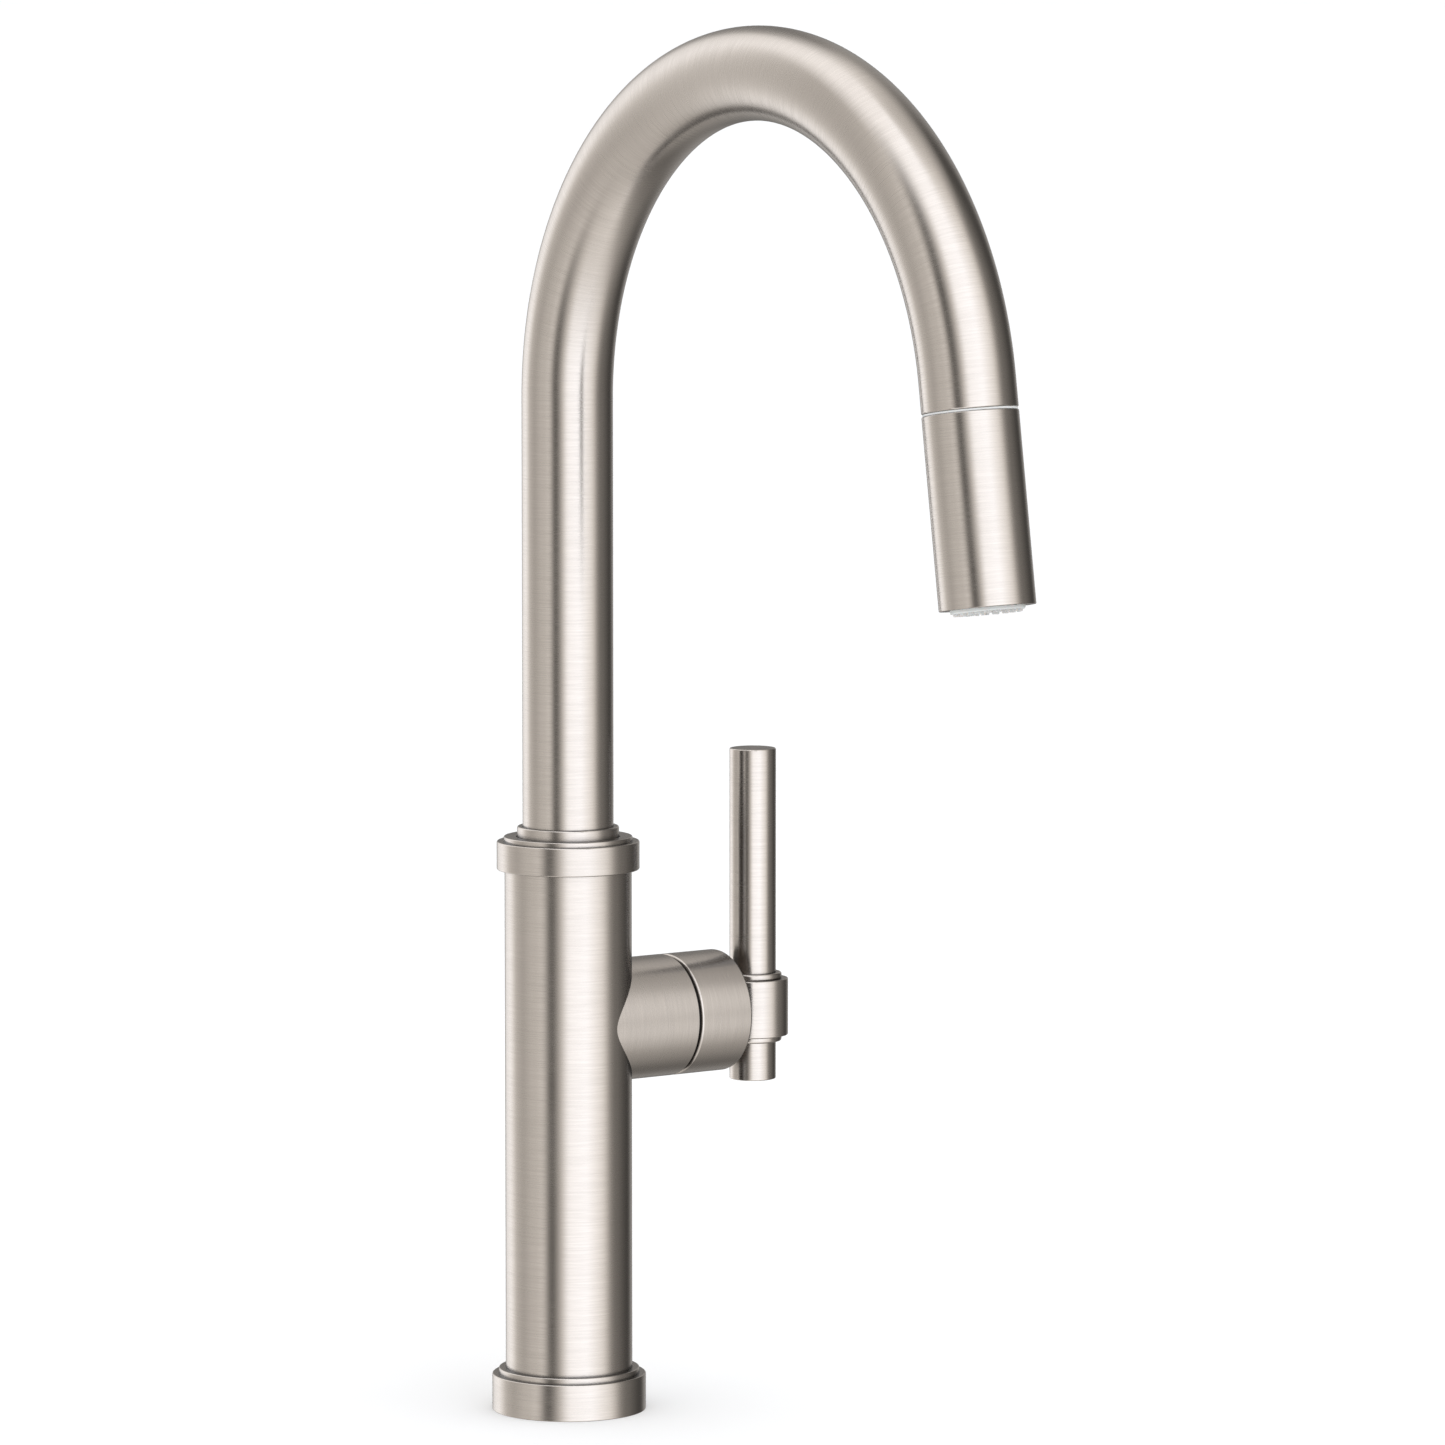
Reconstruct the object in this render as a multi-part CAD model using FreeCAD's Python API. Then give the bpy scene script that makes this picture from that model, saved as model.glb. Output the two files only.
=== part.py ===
import FreeCAD, Part
import math
import os

# Pull down kitchen faucet, in millimetres.
# The origin is where the middle of the column meets the sink deck. +Z is up.
# The spout reaches towards -Y, and the side handle points towards +X.

# Driving dimensions of the outside
inch = 25.4
column_radius = 1.75 * inch / 2
tube_radius = 1.25 * inch / 2
tube_wall = 1.5
arch_radius = 4.5 * inch
arch_centre_z = 14.0 * inch
arch_turn_deg = 171.34
arch_tail = 10.5
flange_radius = 2.125 * inch / 2
flange_height = 12.8
flange_step_radius = 24.7
flange_top_z = 14.8
collar_radius = 24.95
collar_bottom_z = 190.8
collar_top_z = 200.8
step_ring_radius = 22.5
step_ring_top_z = 202.45
spout_ring_radius = 17.8
spout_ring_top_z = 206.0
wand_radius = 15.9
wand_length = 63.8

# Side handle
handle_z = 136.1
housing_radius = 21.46
housing_end_x = 41.3
cap_start_x = 42.4
cap_end_x = 64.2
pivot_x = 46.0
lever_x = 79.75
lever_rod_radius = 8.25
lever_rod_bottom_z = 110.2
lever_rod_top_z = 228.4
hub_radius = 12.6
hub_half_height = 10.15
hub_ring_radius = 10.3
hub_ring_height = 2.2

# Under the deck
deck_thickness = 30.0
shank_radius = 17.0
shank_bore_radius = 15.2
shank_bottom_z = -64.0
shank_top_z = 24.0
thread_pitch = 1.5
thread_depth = 0.7

# Gaps and small edges
slip = 0.05
gap = 0.3
edge = 0.4
edge_fine = 0.25

# Column casting and spout bearing
column_bottom_z = 5.0
column_bore_radius = 18.9
column_neck_radius = 21.0
column_neck_top_z = 195.0
housing_bore_radius = 18.2
housing_bore_start_x = 12.0
bearing_radius = 18.2
bearing_bottom_z = 158.0
tube_bottom_z = 160.0

# Valve
valve_seat_x = 19.5
port_radius = 3.5
port_channel_radius = 2.6
port_circle_radius = 11.0
port_angle_deg = 48.0
side_port_rise = 3.0
outlet_port_drop = 7.6
stem_half = 4.0

# Spray hose
hose_radius = 5.75
hose_bore_radius = 3.9
hose_bottom_z = -70.0
hose_plug_length = 20.0
hose_stub_length = 30.0

# Spray button on the back of the wand
button_s = 40.0
button_half_width = 4.6
button_half_length = 7.4
button_stand_out = 0.8

tube_bore = tube_radius - tube_wall
tilt_deg = 180.0 - arch_turn_deg
tilt = math.radians(tilt_deg)
outlet_y = -math.sin(tilt)
outlet_z = -math.cos(tilt)
arch_end_y = -arch_radius - arch_radius * math.cos(tilt)
arch_end_z = arch_centre_z + arch_radius * math.sin(tilt)
seam_y = arch_end_y + arch_tail * outlet_y
seam_z = arch_end_z + arch_tail * outlet_z

origin = FreeCAD.Vector(0, 0, 0)
x_way = FreeCAD.Vector(1, 0, 0)
y_way = FreeCAD.Vector(0, 1, 0)
z_way = FreeCAD.Vector(0, 0, 1)


# Shape helpers


def at(x, y, z):
    return FreeCAD.Vector(x, y, z)


def turned(outline):
    """A solid of revolution about Z from (radius, height) points."""
    points = [at(r, 0, h) for r, h in outline]
    face = Part.Face(Part.makePolygon(points + [points[0]]))
    return face.revolve(origin, z_way, 360)


def ring(outer, inner, low, high):
    return turned([(inner, low), (outer, low), (outer, high), (inner, high)])


def soft_ring(outer, inner, low, high, cut):
    """A ring with both outer edges chamfered."""
    return turned([
        (inner, low), (outer - cut, low), (outer, low + cut),
        (outer, high - cut), (outer - cut, high), (inner, high),
    ])


def bar(radius, start, end):
    """A round bar between two points."""
    way = end - start
    return Part.makeCylinder(radius, way.Length, start, way)


def handle_bar(radius, start_x, end_x):
    """A round bar along the handle's axis."""
    return bar(radius, at(start_x, 0, handle_z), at(end_x, 0, handle_z))


def block(low, high):
    size = high - low
    return Part.makeBox(size.x, size.y, size.z, low)


def oblong(half_width, half_length, thickness):
    """A pad with round ends, long along Z, its thickness along +Y from y = 0."""
    reach = half_length - half_width
    middle = block(at(-half_width, 0, -reach), at(half_width, thickness, reach))
    top = Part.makeCylinder(half_width, thickness, at(0, 0, reach), y_way)
    bottom = Part.makeCylinder(half_width, thickness, at(0, 0, -reach), y_way)
    return middle.fuse([top, bottom]).removeSplitter()


def on_handle(shape):
    """Turns a shape built along Z so that its height runs along the handle's axis."""
    placed = shape.copy()
    placed.rotate(origin, y_way, 90)
    placed.translate(at(0, 0, handle_z))
    return placed


def on_wand(shape):
    """Places a shape built about Z, with the seam at height 0, on the tilted wand."""
    placed = shape.copy()
    placed.rotate(origin, x_way, -tilt_deg)
    placed.translate(at(0, seam_y, seam_z))
    return placed


def wand_turned(outline):
    """A turned wand part from (radius, distance below the seam) points."""
    return on_wand(turned([(r, -s) for r, s in outline]))


def wand_ring(outer, inner, near, far):
    return wand_turned([(inner, near), (outer, near), (outer, far), (inner, far)])


def arch_ring(outer, inner, turn_deg):
    """A bent tube that follows the arch from the top of its straight leg."""
    section = ring(outer, inner, 0.0, 1.0).Faces
    flat = [f for f in section if abs(f.CenterOfMass.z) < 1e-6][0]
    flat = flat.copy()
    flat.translate(at(0, 0, arch_centre_z))
    return flat.revolve(at(0, -arch_radius, arch_centre_z), x_way, turn_deg)


def port_places():
    """Middle of the hot, cold and outlet ports, as (x, y) seen from below."""
    angle = math.radians(port_angle_deg)
    side = port_circle_radius * math.sin(angle)
    forward = port_circle_radius * math.cos(angle)
    return [(forward, side), (forward, -side), (port_circle_radius, 0.0)]


def seat_places():
    """Middle of the same three ports on the valve's seat, as (y, z)."""
    side = port_places()[0][1]
    return [
        (side, handle_z + side_port_rise),
        (-side, handle_z + side_port_rise),
        (0.0, handle_z - outlet_port_drop),
    ]


def seat_bars(radius, start_x, end_x):
    return [bar(radius, at(start_x, y, z), at(end_x, y, z)) for y, z in seat_places()]


# Base and mounting


def base_flange():
    inner = column_radius + slip
    web = shank_radius + gap
    return turned([
        (web, 2.2), (25.2, 2.2), (25.2, 0), (flange_radius - edge_fine, 0),
        (flange_radius, edge_fine), (flange_radius, flange_height - edge),
        (flange_radius - edge, flange_height), (flange_step_radius, flange_height),
        (flange_step_radius, flange_top_z - edge), (flange_step_radius - edge, flange_top_z),
        (inner, flange_top_z), (inner, column_bottom_z), (web, column_bottom_z),
    ])


def deck_gasket():
    return ring(25.0, shank_radius + gap, 0.0, 2.2)


def shank():
    """A threaded tube that the column is screwed to."""
    thread_top = -3.0
    thread_bottom = shank_bottom_z + 14.0
    turns = int((thread_top - thread_bottom) / thread_pitch)
    outline = [(shank_bore_radius, shank_top_z), (shank_radius, shank_top_z), (shank_radius, thread_top)]
    for turn in range(turns):
        high = thread_top - turn * thread_pitch
        outline.append((shank_radius, high - 0.1 * thread_pitch))
        outline.append((shank_radius - thread_depth, high - 0.55 * thread_pitch))
        outline.append((shank_radius, high - thread_pitch))
    outline.append((shank_radius, shank_bottom_z))
    outline.append((shank_bore_radius, shank_bottom_z))
    return turned(outline)


def rubber_washer():
    return ring(28.0, shank_radius + gap, -deck_thickness - 3.0, -deck_thickness)


def steel_washer():
    return ring(28.0, shank_radius + gap, -deck_thickness - 4.5, -deck_thickness - 3.0)


nut_top_z = -deck_thickness - 5.5
nut_flange = 3.5
nut_height = 13.0
clamp_screw_circle = 24.0


def mounting_nut():
    plate = ring(29.0, shank_radius + slip, nut_top_z - nut_flange, nut_top_z)
    corner = 39.0 / math.sqrt(3)
    points = [
        at(corner * math.cos(math.radians(60 * k + 30)), corner * math.sin(math.radians(60 * k + 30)), 0)
        for k in range(6)
    ]
    hexagon = Part.Face(Part.makePolygon(points + [points[0]]))
    hexagon.translate(at(0, 0, nut_top_z - nut_height))
    barrel = hexagon.extrude(at(0, 0, nut_height - nut_flange))
    bore = bar(shank_radius + slip, at(0, 0, nut_top_z - nut_height - 1), at(0, 0, nut_top_z + 1))
    nut = plate.fuse(barrel).cut(bore)
    for side in (-1, 1):
        x = side * clamp_screw_circle
        nut = nut.cut(bar(2.5 + slip, at(x, 0, nut_top_z - nut_flange - 1), at(x, 0, nut_top_z + 1)))
    return nut.removeSplitter()


def clamp_screws():
    """Two screws in the mounting nut that press the steel washer up."""
    screws = []
    for side in (-1, 1):
        x = side * clamp_screw_circle
        shaft = bar(2.5, at(x, 0, nut_top_z - 10.0), at(x, 0, -deck_thickness - 4.5))
        head = bar(4.2, at(x, 0, nut_top_z - 14.0), at(x, 0, nut_top_z - 10.0))
        slot = block(at(x - 5, -0.6, nut_top_z - 14.5), at(x + 5, 0.6, nut_top_z - 12.8))
        screws.append(shaft.fuse(head).cut(slot))
    return screws


# Column and valve


def body_column():
    """The upright column and the side housing, cast as one."""
    column = turned([
        (0, column_bottom_z), (column_radius, column_bottom_z), (column_radius, collar_bottom_z),
        (column_neck_radius, collar_bottom_z), (column_neck_radius, column_neck_top_z),
        (0, column_neck_top_z),
    ])
    housing = on_handle(turned([
        (0, 0), (housing_radius, 0), (housing_radius, housing_end_x - edge_fine),
        (housing_radius - edge_fine, housing_end_x), (0, housing_end_x),
    ]))
    bore = bar(column_bore_radius, at(0, 0, shank_top_z), at(0, 0, column_neck_top_z + 1))
    socket = bar(shank_radius + slip, at(0, 0, column_bottom_z - 1), at(0, 0, shank_top_z + 1))
    side_bore = handle_bar(housing_bore_radius, housing_bore_start_x, housing_end_x + 1)
    return column.fuse(housing).cut([bore, socket, side_bore]).removeSplitter()


def valve_core():
    """The brass waterway inside the column, with three threaded ports facing down."""
    low_z = 108.0
    high_z = 154.0
    rear_x = -6.0
    core = bar(column_bore_radius - gap, at(0, 0, low_z), at(0, 0, high_z))
    core = core.common(block(at(rear_x, -30, low_z), at(30, 30, high_z)))
    head = handle_bar(housing_bore_radius - gap, housing_bore_start_x + slip, valve_seat_x)
    core = core.fuse(head)
    passage = hose_radius + 1.0
    core = core.cut(bar(passage, at(0, 0, low_z - 1), at(0, 0, high_z + 1)))
    core = core.cut(block(at(rear_x - 1, -passage, low_z - 1), at(0, passage, high_z + 1)))
    thread_z = low_z + 10.0
    for (x, y), (seat_y, seat_z) in zip(port_places(), seat_places()):
        port = bar(port_radius, at(x, y, low_z - 1), at(x, y, thread_z))
        channel = bar(port_channel_radius, at(x, y, low_z), at(x, y, seat_z))
        turn = bar(port_channel_radius, at(x, seat_y, seat_z), at(valve_seat_x + 1, seat_y, seat_z))
        core = core.cut([port, channel, turn])
    return core


cartridge_start_x = 20.3
cartridge_base_end_x = 22.6
fixed_disc_end_x = 25.6
moving_disc_end_x = 28.6
slider_end_x = 33.2
cartridge_radius = 17.5
cartridge_cavity = 15.0
cartridge_shoulder_x = 35.2
cartridge_shoulder_end_x = 36.8
cartridge_neck_radius = 13.0
cartridge_neck_bore = 11.2
cartridge_neck_end_x = 44.8
moving_disc_radius = 9.8
foot_x = 31.4


def port_seals():
    """Three rubber rings between the valve core and the cartridge."""
    outer = seat_bars(4.0, valve_seat_x, cartridge_start_x)
    inner = seat_bars(port_channel_radius + 0.2, valve_seat_x - 1, cartridge_start_x + 1)
    return [seal.cut(hole) for seal, hole in zip(outer, inner)]


def cartridge_base():
    base = handle_bar(cartridge_radius, cartridge_start_x, cartridge_base_end_x)
    return base.cut(seat_bars(port_channel_radius, cartridge_start_x - 1, cartridge_base_end_x + 1))


def cartridge_housing():
    return on_handle(turned([
        (cartridge_cavity, cartridge_base_end_x), (cartridge_radius, cartridge_base_end_x),
        (cartridge_radius, cartridge_shoulder_end_x), (cartridge_neck_radius, cartridge_shoulder_end_x),
        (cartridge_neck_radius, cartridge_neck_end_x), (cartridge_neck_bore, cartridge_neck_end_x),
        (cartridge_neck_bore, cartridge_shoulder_x), (cartridge_cavity, cartridge_shoulder_x),
    ]))


def fixed_disc():
    disc = handle_bar(cartridge_cavity - slip, cartridge_base_end_x, fixed_disc_end_x)
    return disc.cut(seat_bars(port_channel_radius, cartridge_base_end_x - 1, fixed_disc_end_x + 1))


def moving_disc():
    start_x = fixed_disc_end_x + slip
    disc = handle_bar(moving_disc_radius, start_x, moving_disc_end_x)
    mixing_hollow = bar(6.0, at(start_x - 1, 0, handle_z - 2.5), at(start_x + 1.6, 0, handle_z - 2.5))
    return disc.cut(mixing_hollow)


def disc_slider():
    """The plastic driver on the moving disc, with a pocket for the stem's foot."""
    slider = handle_bar(moving_disc_radius, moving_disc_end_x, slider_end_x)
    pocket = block(at(foot_x - 3.3, -2.8, handle_z - 2.85), at(slider_end_x + 1, 2.8, handle_z + 2.85))
    return slider.cut(pocket)


rotor_end_x = 49.5
rotor_neck_radius = cartridge_neck_bore - gap
drive_plate_start_x = 45.2
drive_plate_end_x = 47.6
cap_bore = 18.8


def stem_slot(start_x, end_x):
    return block(at(start_x, -stem_half - 0.15, handle_z - 7.6), at(end_x, stem_half + 0.15, handle_z + 7.6))


def stem_rotor():
    """The part of the cartridge that turns with the handle and carries the stem's pin."""
    start_x = slider_end_x + 0.2
    wide = cartridge_cavity - gap
    shoulder_x = cartridge_shoulder_x - 0.15
    rotor = on_handle(turned([
        (0, start_x), (wide, start_x), (wide, shoulder_x),
        (rotor_neck_radius, shoulder_x), (rotor_neck_radius, rotor_end_x), (0, rotor_end_x),
    ]))
    pin_hole = bar(1.5 + slip, at(pivot_x, -12, handle_z), at(pivot_x, 12, handle_z))
    return rotor.cut([stem_slot(slider_end_x, rotor_end_x + 1), pin_hole])


def drive_plate():
    """Ties the cap to the rotor, so that both turn together."""
    plate = ring(cap_bore - slip, rotor_neck_radius + slip, drive_plate_start_x, drive_plate_end_x)
    return on_handle(plate)


retaining_nut_end_x = 44.6


def retaining_nut():
    outer = housing_bore_radius - slip
    nut = on_handle(ring(outer, cartridge_neck_radius + gap, cartridge_shoulder_end_x, retaining_nut_end_x))
    for side in (-1, 1):
        y = side * 16.0
        notch = block(at(42.8, y - 3.0, handle_z - 2.5), at(45.6, y + 3.0, handle_z + 2.5))
        nut = nut.cut(notch)
    return nut


glide_ring_radius = 19.9


def glide_ring():
    """The dark ring in the seam that the cap runs on."""
    return on_handle(ring(glide_ring_radius, housing_bore_radius, housing_end_x, 44.4))


# Handle

cap_opening_radius = 12.2
cap_wall_start_x = 58.6
cap_dish_start_x = 60.6
cap_dish_radius = 19.4
cap_edge = 0.9


def handle_cap():
    """The turned cap with a dished end that the lever tilts in."""
    return on_handle(turned([
        (glide_ring_radius + slip, cap_start_x), (housing_radius - cap_edge, cap_start_x),
        (housing_radius, cap_start_x + cap_edge), (housing_radius, cap_end_x - 0.8),
        (housing_radius - 0.25, cap_end_x - 0.25), (housing_radius - 0.8, cap_end_x),
        (cap_dish_radius, cap_end_x), (cap_opening_radius, cap_dish_start_x),
        (cap_opening_radius, cap_wall_start_x), (cap_bore, cap_wall_start_x),
        (cap_bore, 44.9), (glide_ring_radius + slip, 44.9),
    ]))


neck_radius = 7.0
neck_start_x = 56.0
stem_square_start_x = 41.0
socket_end_x = 66.5
screw_head_end_x = 69.6


def valve_stem():
    """The square stem, pinned in the rotor, with a ball foot that pushes the disc."""
    low = at(stem_square_start_x, -stem_half, handle_z - stem_half)
    high = at(socket_end_x, stem_half, handle_z + stem_half)
    square = block(low, high)
    finger = handle_bar(1.9, foot_x, stem_square_start_x + 0.5)
    foot = Part.makeSphere(2.5, at(foot_x, 0, handle_z))
    pin_hole = bar(1.5, at(pivot_x, -12, handle_z), at(pivot_x, 12, handle_z))
    return square.fuse([finger, foot]).cut(pin_hole)


def stem_pin():
    return bar(1.5, at(pivot_x, -10.0, handle_z), at(pivot_x, 10.0, handle_z))


def stem_shroud():
    """A dome about the stem's pin that closes the cap's opening at every tilt."""
    outer = 17.2
    inner = 16.0
    half_angle = math.radians(64.0)
    ball = Part.makeSphere(outer, at(pivot_x, 0, handle_z))
    ball = ball.cut(Part.makeSphere(inner, at(pivot_x, 0, handle_z)))
    keep_x = pivot_x + inner * math.cos(half_angle)
    dome = ball.common(block(at(keep_x, -20, handle_z - 20), at(pivot_x + 20, 20, handle_z + 20)))
    return dome.cut(bar(neck_radius + slip, at(pivot_x, 0, handle_z), at(pivot_x + 20, 0, handle_z)))


def rod_screw():
    """The screw that pulls the rod into the hub, reached through the stem's socket."""
    head = bar(3.2, at(socket_end_x + 0.2, 0, handle_z), at(screw_head_end_x, 0, handle_z))
    shaft = bar(2.0, at(screw_head_end_x, 0, handle_z), at(lever_x + 4.0, 0, handle_z))
    return head.fuse(shaft)


def rod_screw_hole():
    head = bar(3.2 + slip, at(socket_end_x - 1, 0, handle_z), at(screw_head_end_x, 0, handle_z))
    shaft = bar(2.0 + slip, at(screw_head_end_x - 1, 0, handle_z), at(lever_x + 4.5, 0, handle_z))
    return head.fuse(shaft)


set_screw_x = 61.5


def handle_hub():
    """The sleeve round the rod, with the neck that takes the stem."""
    barrel = turned([
        (0, -hub_half_height), (hub_radius - edge, -hub_half_height), (hub_radius, -hub_half_height + edge),
        (hub_radius, hub_half_height - edge), (hub_radius - edge, hub_half_height), (0, hub_half_height),
    ])
    barrel.translate(at(lever_x, 0, handle_z))
    neck = bar(neck_radius, at(neck_start_x, 0, handle_z), at(lever_x, 0, handle_z))
    rod_bore = bar(lever_rod_radius + slip, at(lever_x, 0, handle_z - 15), at(lever_x, 0, handle_z + 15))
    half = stem_half + slip
    socket = block(at(neck_start_x - 1, -half, handle_z - half), at(socket_end_x, half, handle_z + half))
    set_hole = bar(1.5, at(set_screw_x, 0, handle_z - 9), at(set_screw_x, 0, handle_z))
    return barrel.fuse(neck).cut([rod_bore, socket, rod_screw_hole(), set_hole])


def set_screw():
    outer_end = at(set_screw_x, 0, handle_z - neck_radius + 0.2)
    return bar(1.5 - slip, outer_end, at(set_screw_x, 0, handle_z - stem_half))


def hub_rings():
    """A thin turned ring on the rod above the hub, and one below it."""
    rings = []
    for low in (hub_half_height, -hub_half_height - hub_ring_height):
        one = soft_ring(hub_ring_radius, lever_rod_radius + slip, low, low + hub_ring_height, edge)
        one.translate(at(lever_x, 0, handle_z))
        rings.append(one)
    return rings


def lever_rod():
    rod = turned([
        (0, lever_rod_bottom_z), (lever_rod_radius - edge, lever_rod_bottom_z),
        (lever_rod_radius, lever_rod_bottom_z + edge), (lever_rod_radius, lever_rod_top_z - edge),
        (lever_rod_radius - edge, lever_rod_top_z), (0, lever_rod_top_z),
    ])
    rod.translate(at(lever_x, 0, 0))
    return rod.cut(rod_screw_hole())


# Spout

flange_low_z = 195.7
flange_high_z = 197.7
retaining_lip = 18.4


def top_collar():
    return turned([
        (column_neck_radius + slip, collar_bottom_z), (collar_radius - edge, collar_bottom_z),
        (collar_radius, collar_bottom_z + edge), (collar_radius, collar_top_z - edge),
        (collar_radius - edge, collar_top_z), (retaining_lip, collar_top_z),
        (retaining_lip, flange_high_z + 0.25), (column_neck_radius + slip, flange_high_z + 0.25),
    ])


def step_ring():
    return turned([
        (spout_ring_radius + gap, collar_top_z), (step_ring_radius, collar_top_z),
        (step_ring_radius, step_ring_top_z - edge_fine), (step_ring_radius - edge_fine, step_ring_top_z),
        (spout_ring_radius + gap, step_ring_top_z),
    ])


def slip_washer():
    return ring(column_neck_radius - gap, bearing_radius + gap, column_neck_top_z, flange_low_z - slip)


bearing_groove_width = 5.0
bearing_groove_radius = 17.1
wear_ring_heights = (163.0, 183.0)
swivel_seal_low_z = 174.0
swivel_seal_height = 3.0


def spout_bearing():
    """The brass sleeve brazed to the foot of the tube, turning inside the column."""
    bore = tube_radius + 0.02
    outline = [(tube_bore, bearing_bottom_z), (bearing_radius, bearing_bottom_z)]
    grooves = [(low, bearing_groove_width) for low in wear_ring_heights]
    grooves.insert(1, (swivel_seal_low_z, swivel_seal_height))
    for low, width in grooves:
        outline += [
            (bearing_radius, low), (bearing_groove_radius, low),
            (bearing_groove_radius, low + width), (bearing_radius, low + width),
        ]
    outline += [
        (bearing_radius, flange_low_z), (column_neck_radius - gap, flange_low_z),
        (column_neck_radius - gap, flange_high_z), (bore, flange_high_z),
        (bore, tube_bottom_z), (tube_bore, tube_bottom_z),
    ]
    return turned(outline)


def wear_rings():
    """Two plastic bearing rings in the grooves of the spout's sleeve."""
    outer = column_bore_radius - slip
    inner = bearing_groove_radius + slip
    return [
        ring(outer, inner, low + slip, low + bearing_groove_width - slip) for low in wear_ring_heights
    ]


def swivel_seal():
    return Part.makeTorus(18.0, 0.85, at(0, 0, swivel_seal_low_z + swivel_seal_height / 2), z_way)


def spout_ring():
    low = collar_top_z + 0.2
    return turned([
        (tube_radius + 0.02, low), (spout_ring_radius, low), (spout_ring_radius, spout_ring_top_z - edge),
        (spout_ring_radius - edge, spout_ring_top_z), (tube_radius + 0.02, spout_ring_top_z),
    ])


tube_end_gap = 0.45


def spout_tube():
    """The gooseneck: a straight leg, the arch and a short tail, as one hollow tube."""
    leg = ring(tube_radius, tube_bore, tube_bottom_z, arch_centre_z)
    arch = arch_ring(tube_radius, tube_bore, arch_turn_deg)
    tail = wand_turned([
        (tube_bore, -arch_tail), (tube_radius, -arch_tail), (tube_radius, -tube_end_gap - edge),
        (tube_radius - edge, -tube_end_gap), (tube_bore, -tube_end_gap),
    ])
    return leg.fuse([arch, tail]).removeSplitter()


spigot_radius = 12.3
dock_radius = 14.2
magnet_near = -13.5
magnet_far = -9.1


def dock_insert():
    """The plastic seat inside the end of the tube that guides the wand home."""
    return wand_turned([
        (7.2, -14.6), (dock_radius - 0.2, -14.6), (dock_radius, -10.0), (dock_radius, -1.2),
        (spigot_radius + 0.7, -1.2), (spigot_radius + gap, -2.2), (spigot_radius + gap, magnet_near),
        (7.2, magnet_near),
    ])


def dock_magnet():
    return wand_ring(spigot_radius + gap - slip, 7.2, magnet_near, magnet_far)


def hose_guide():
    """A smooth plastic throat that the hose slides through."""
    return wand_turned([
        (6.4, -14.7), (13.6, -14.7), (13.4, -20.0), (10.0, -20.0), (7.2, -18.6), (6.4, -16.6),
    ])


def spray_hose():
    """The hose from its plug below the deck, up the column and round the arch."""
    free_arc = (hose_stub_length + 3.0 - arch_tail) / arch_radius
    turn_deg = arch_turn_deg - math.degrees(free_arc)
    leg = ring(hose_radius, hose_bore_radius, hose_bottom_z, arch_centre_z)
    arch = arch_ring(hose_radius, hose_bore_radius, turn_deg)
    return leg.fuse(arch).removeSplitter()


plug_radius = 4.9


def hose_plug():
    """The brass plug on the lower end of the hose, for a push-on connector."""
    low = hose_bottom_z - hose_plug_length
    return turned([
        (2.6, low), (plug_radius, low), (plug_radius, hose_bottom_z - 8.0),
        (4.1, hose_bottom_z - 8.0), (4.1, hose_bottom_z - 5.5), (plug_radius, hose_bottom_z - 5.5),
        (plug_radius, hose_bottom_z - 2.0), (hose_radius + 0.6, hose_bottom_z - 2.0),
        (hose_radius + 0.6, hose_bottom_z), (hose_bore_radius - slip, hose_bottom_z),
        (hose_bore_radius - slip, hose_bottom_z + 14.0), (2.6, hose_bottom_z + 14.0),
    ])


# Hose end, which slides out of the spout with the wand


def hose_end():
    """The last straight stretch of the hose, drawn out of the spout with the wand."""
    return wand_ring(hose_radius, hose_bore_radius, -hose_stub_length, 12.6)


def hose_tail():
    """The brass tail in the end of the hose, which swivels under the hose nut."""
    return wand_turned([
        (2.6, -4.0), (hose_bore_radius - slip, -4.0), (hose_bore_radius - slip, 12.8), (7.5, 12.8),
        (7.5, 15.1), (2.6, 15.1),
    ])


# Wand

shell_bore = 14.3
body_fit = 13.9
socket_radius = 8.9
lip_radius = 12.6
face_radius = 12.3
waterway_far = 50.2
face_far = 65.0
nozzle_far = 65.8


def button_pad(half_width, half_length, near_y, far_y):
    """An oblong block through the back of the wand between two depths."""
    pad = oblong(half_width, half_length, far_y - near_y)
    pad.translate(at(0, near_y, -button_s))
    return pad


def wand_collar():
    """The pale collar that shows as the ring between spout and wand."""
    return wand_turned([
        (9.2, -7.9), (spigot_radius - 0.4, -7.9), (spigot_radius, -7.5), (spigot_radius, -0.4),
        (15.35, -0.4), (15.6, 0.0), (15.35, 0.4), (shell_bore - slip, 0.4), (shell_bore - slip, 6.0),
        (9.2, 6.0),
    ])


def catch_plate():
    """The steel ring on top of the collar that the magnet holds."""
    return wand_ring(spigot_radius - 0.4, 9.2, -8.6, -7.9)


def wand_shell():
    shell = turned([
        (shell_bore, -0.45), (wand_radius - edge, -0.45), (wand_radius, -0.45 - edge),
        (wand_radius, -wand_length + edge_fine), (wand_radius - edge_fine, -wand_length),
        (lip_radius, -wand_length), (lip_radius, -wand_length + 1.2), (shell_bore, -wand_length + 1.2),
    ])
    window = button_pad(button_half_width + gap, button_half_length + gap, 8.0, 20.0)
    return on_wand(shell.cut(window))


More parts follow.
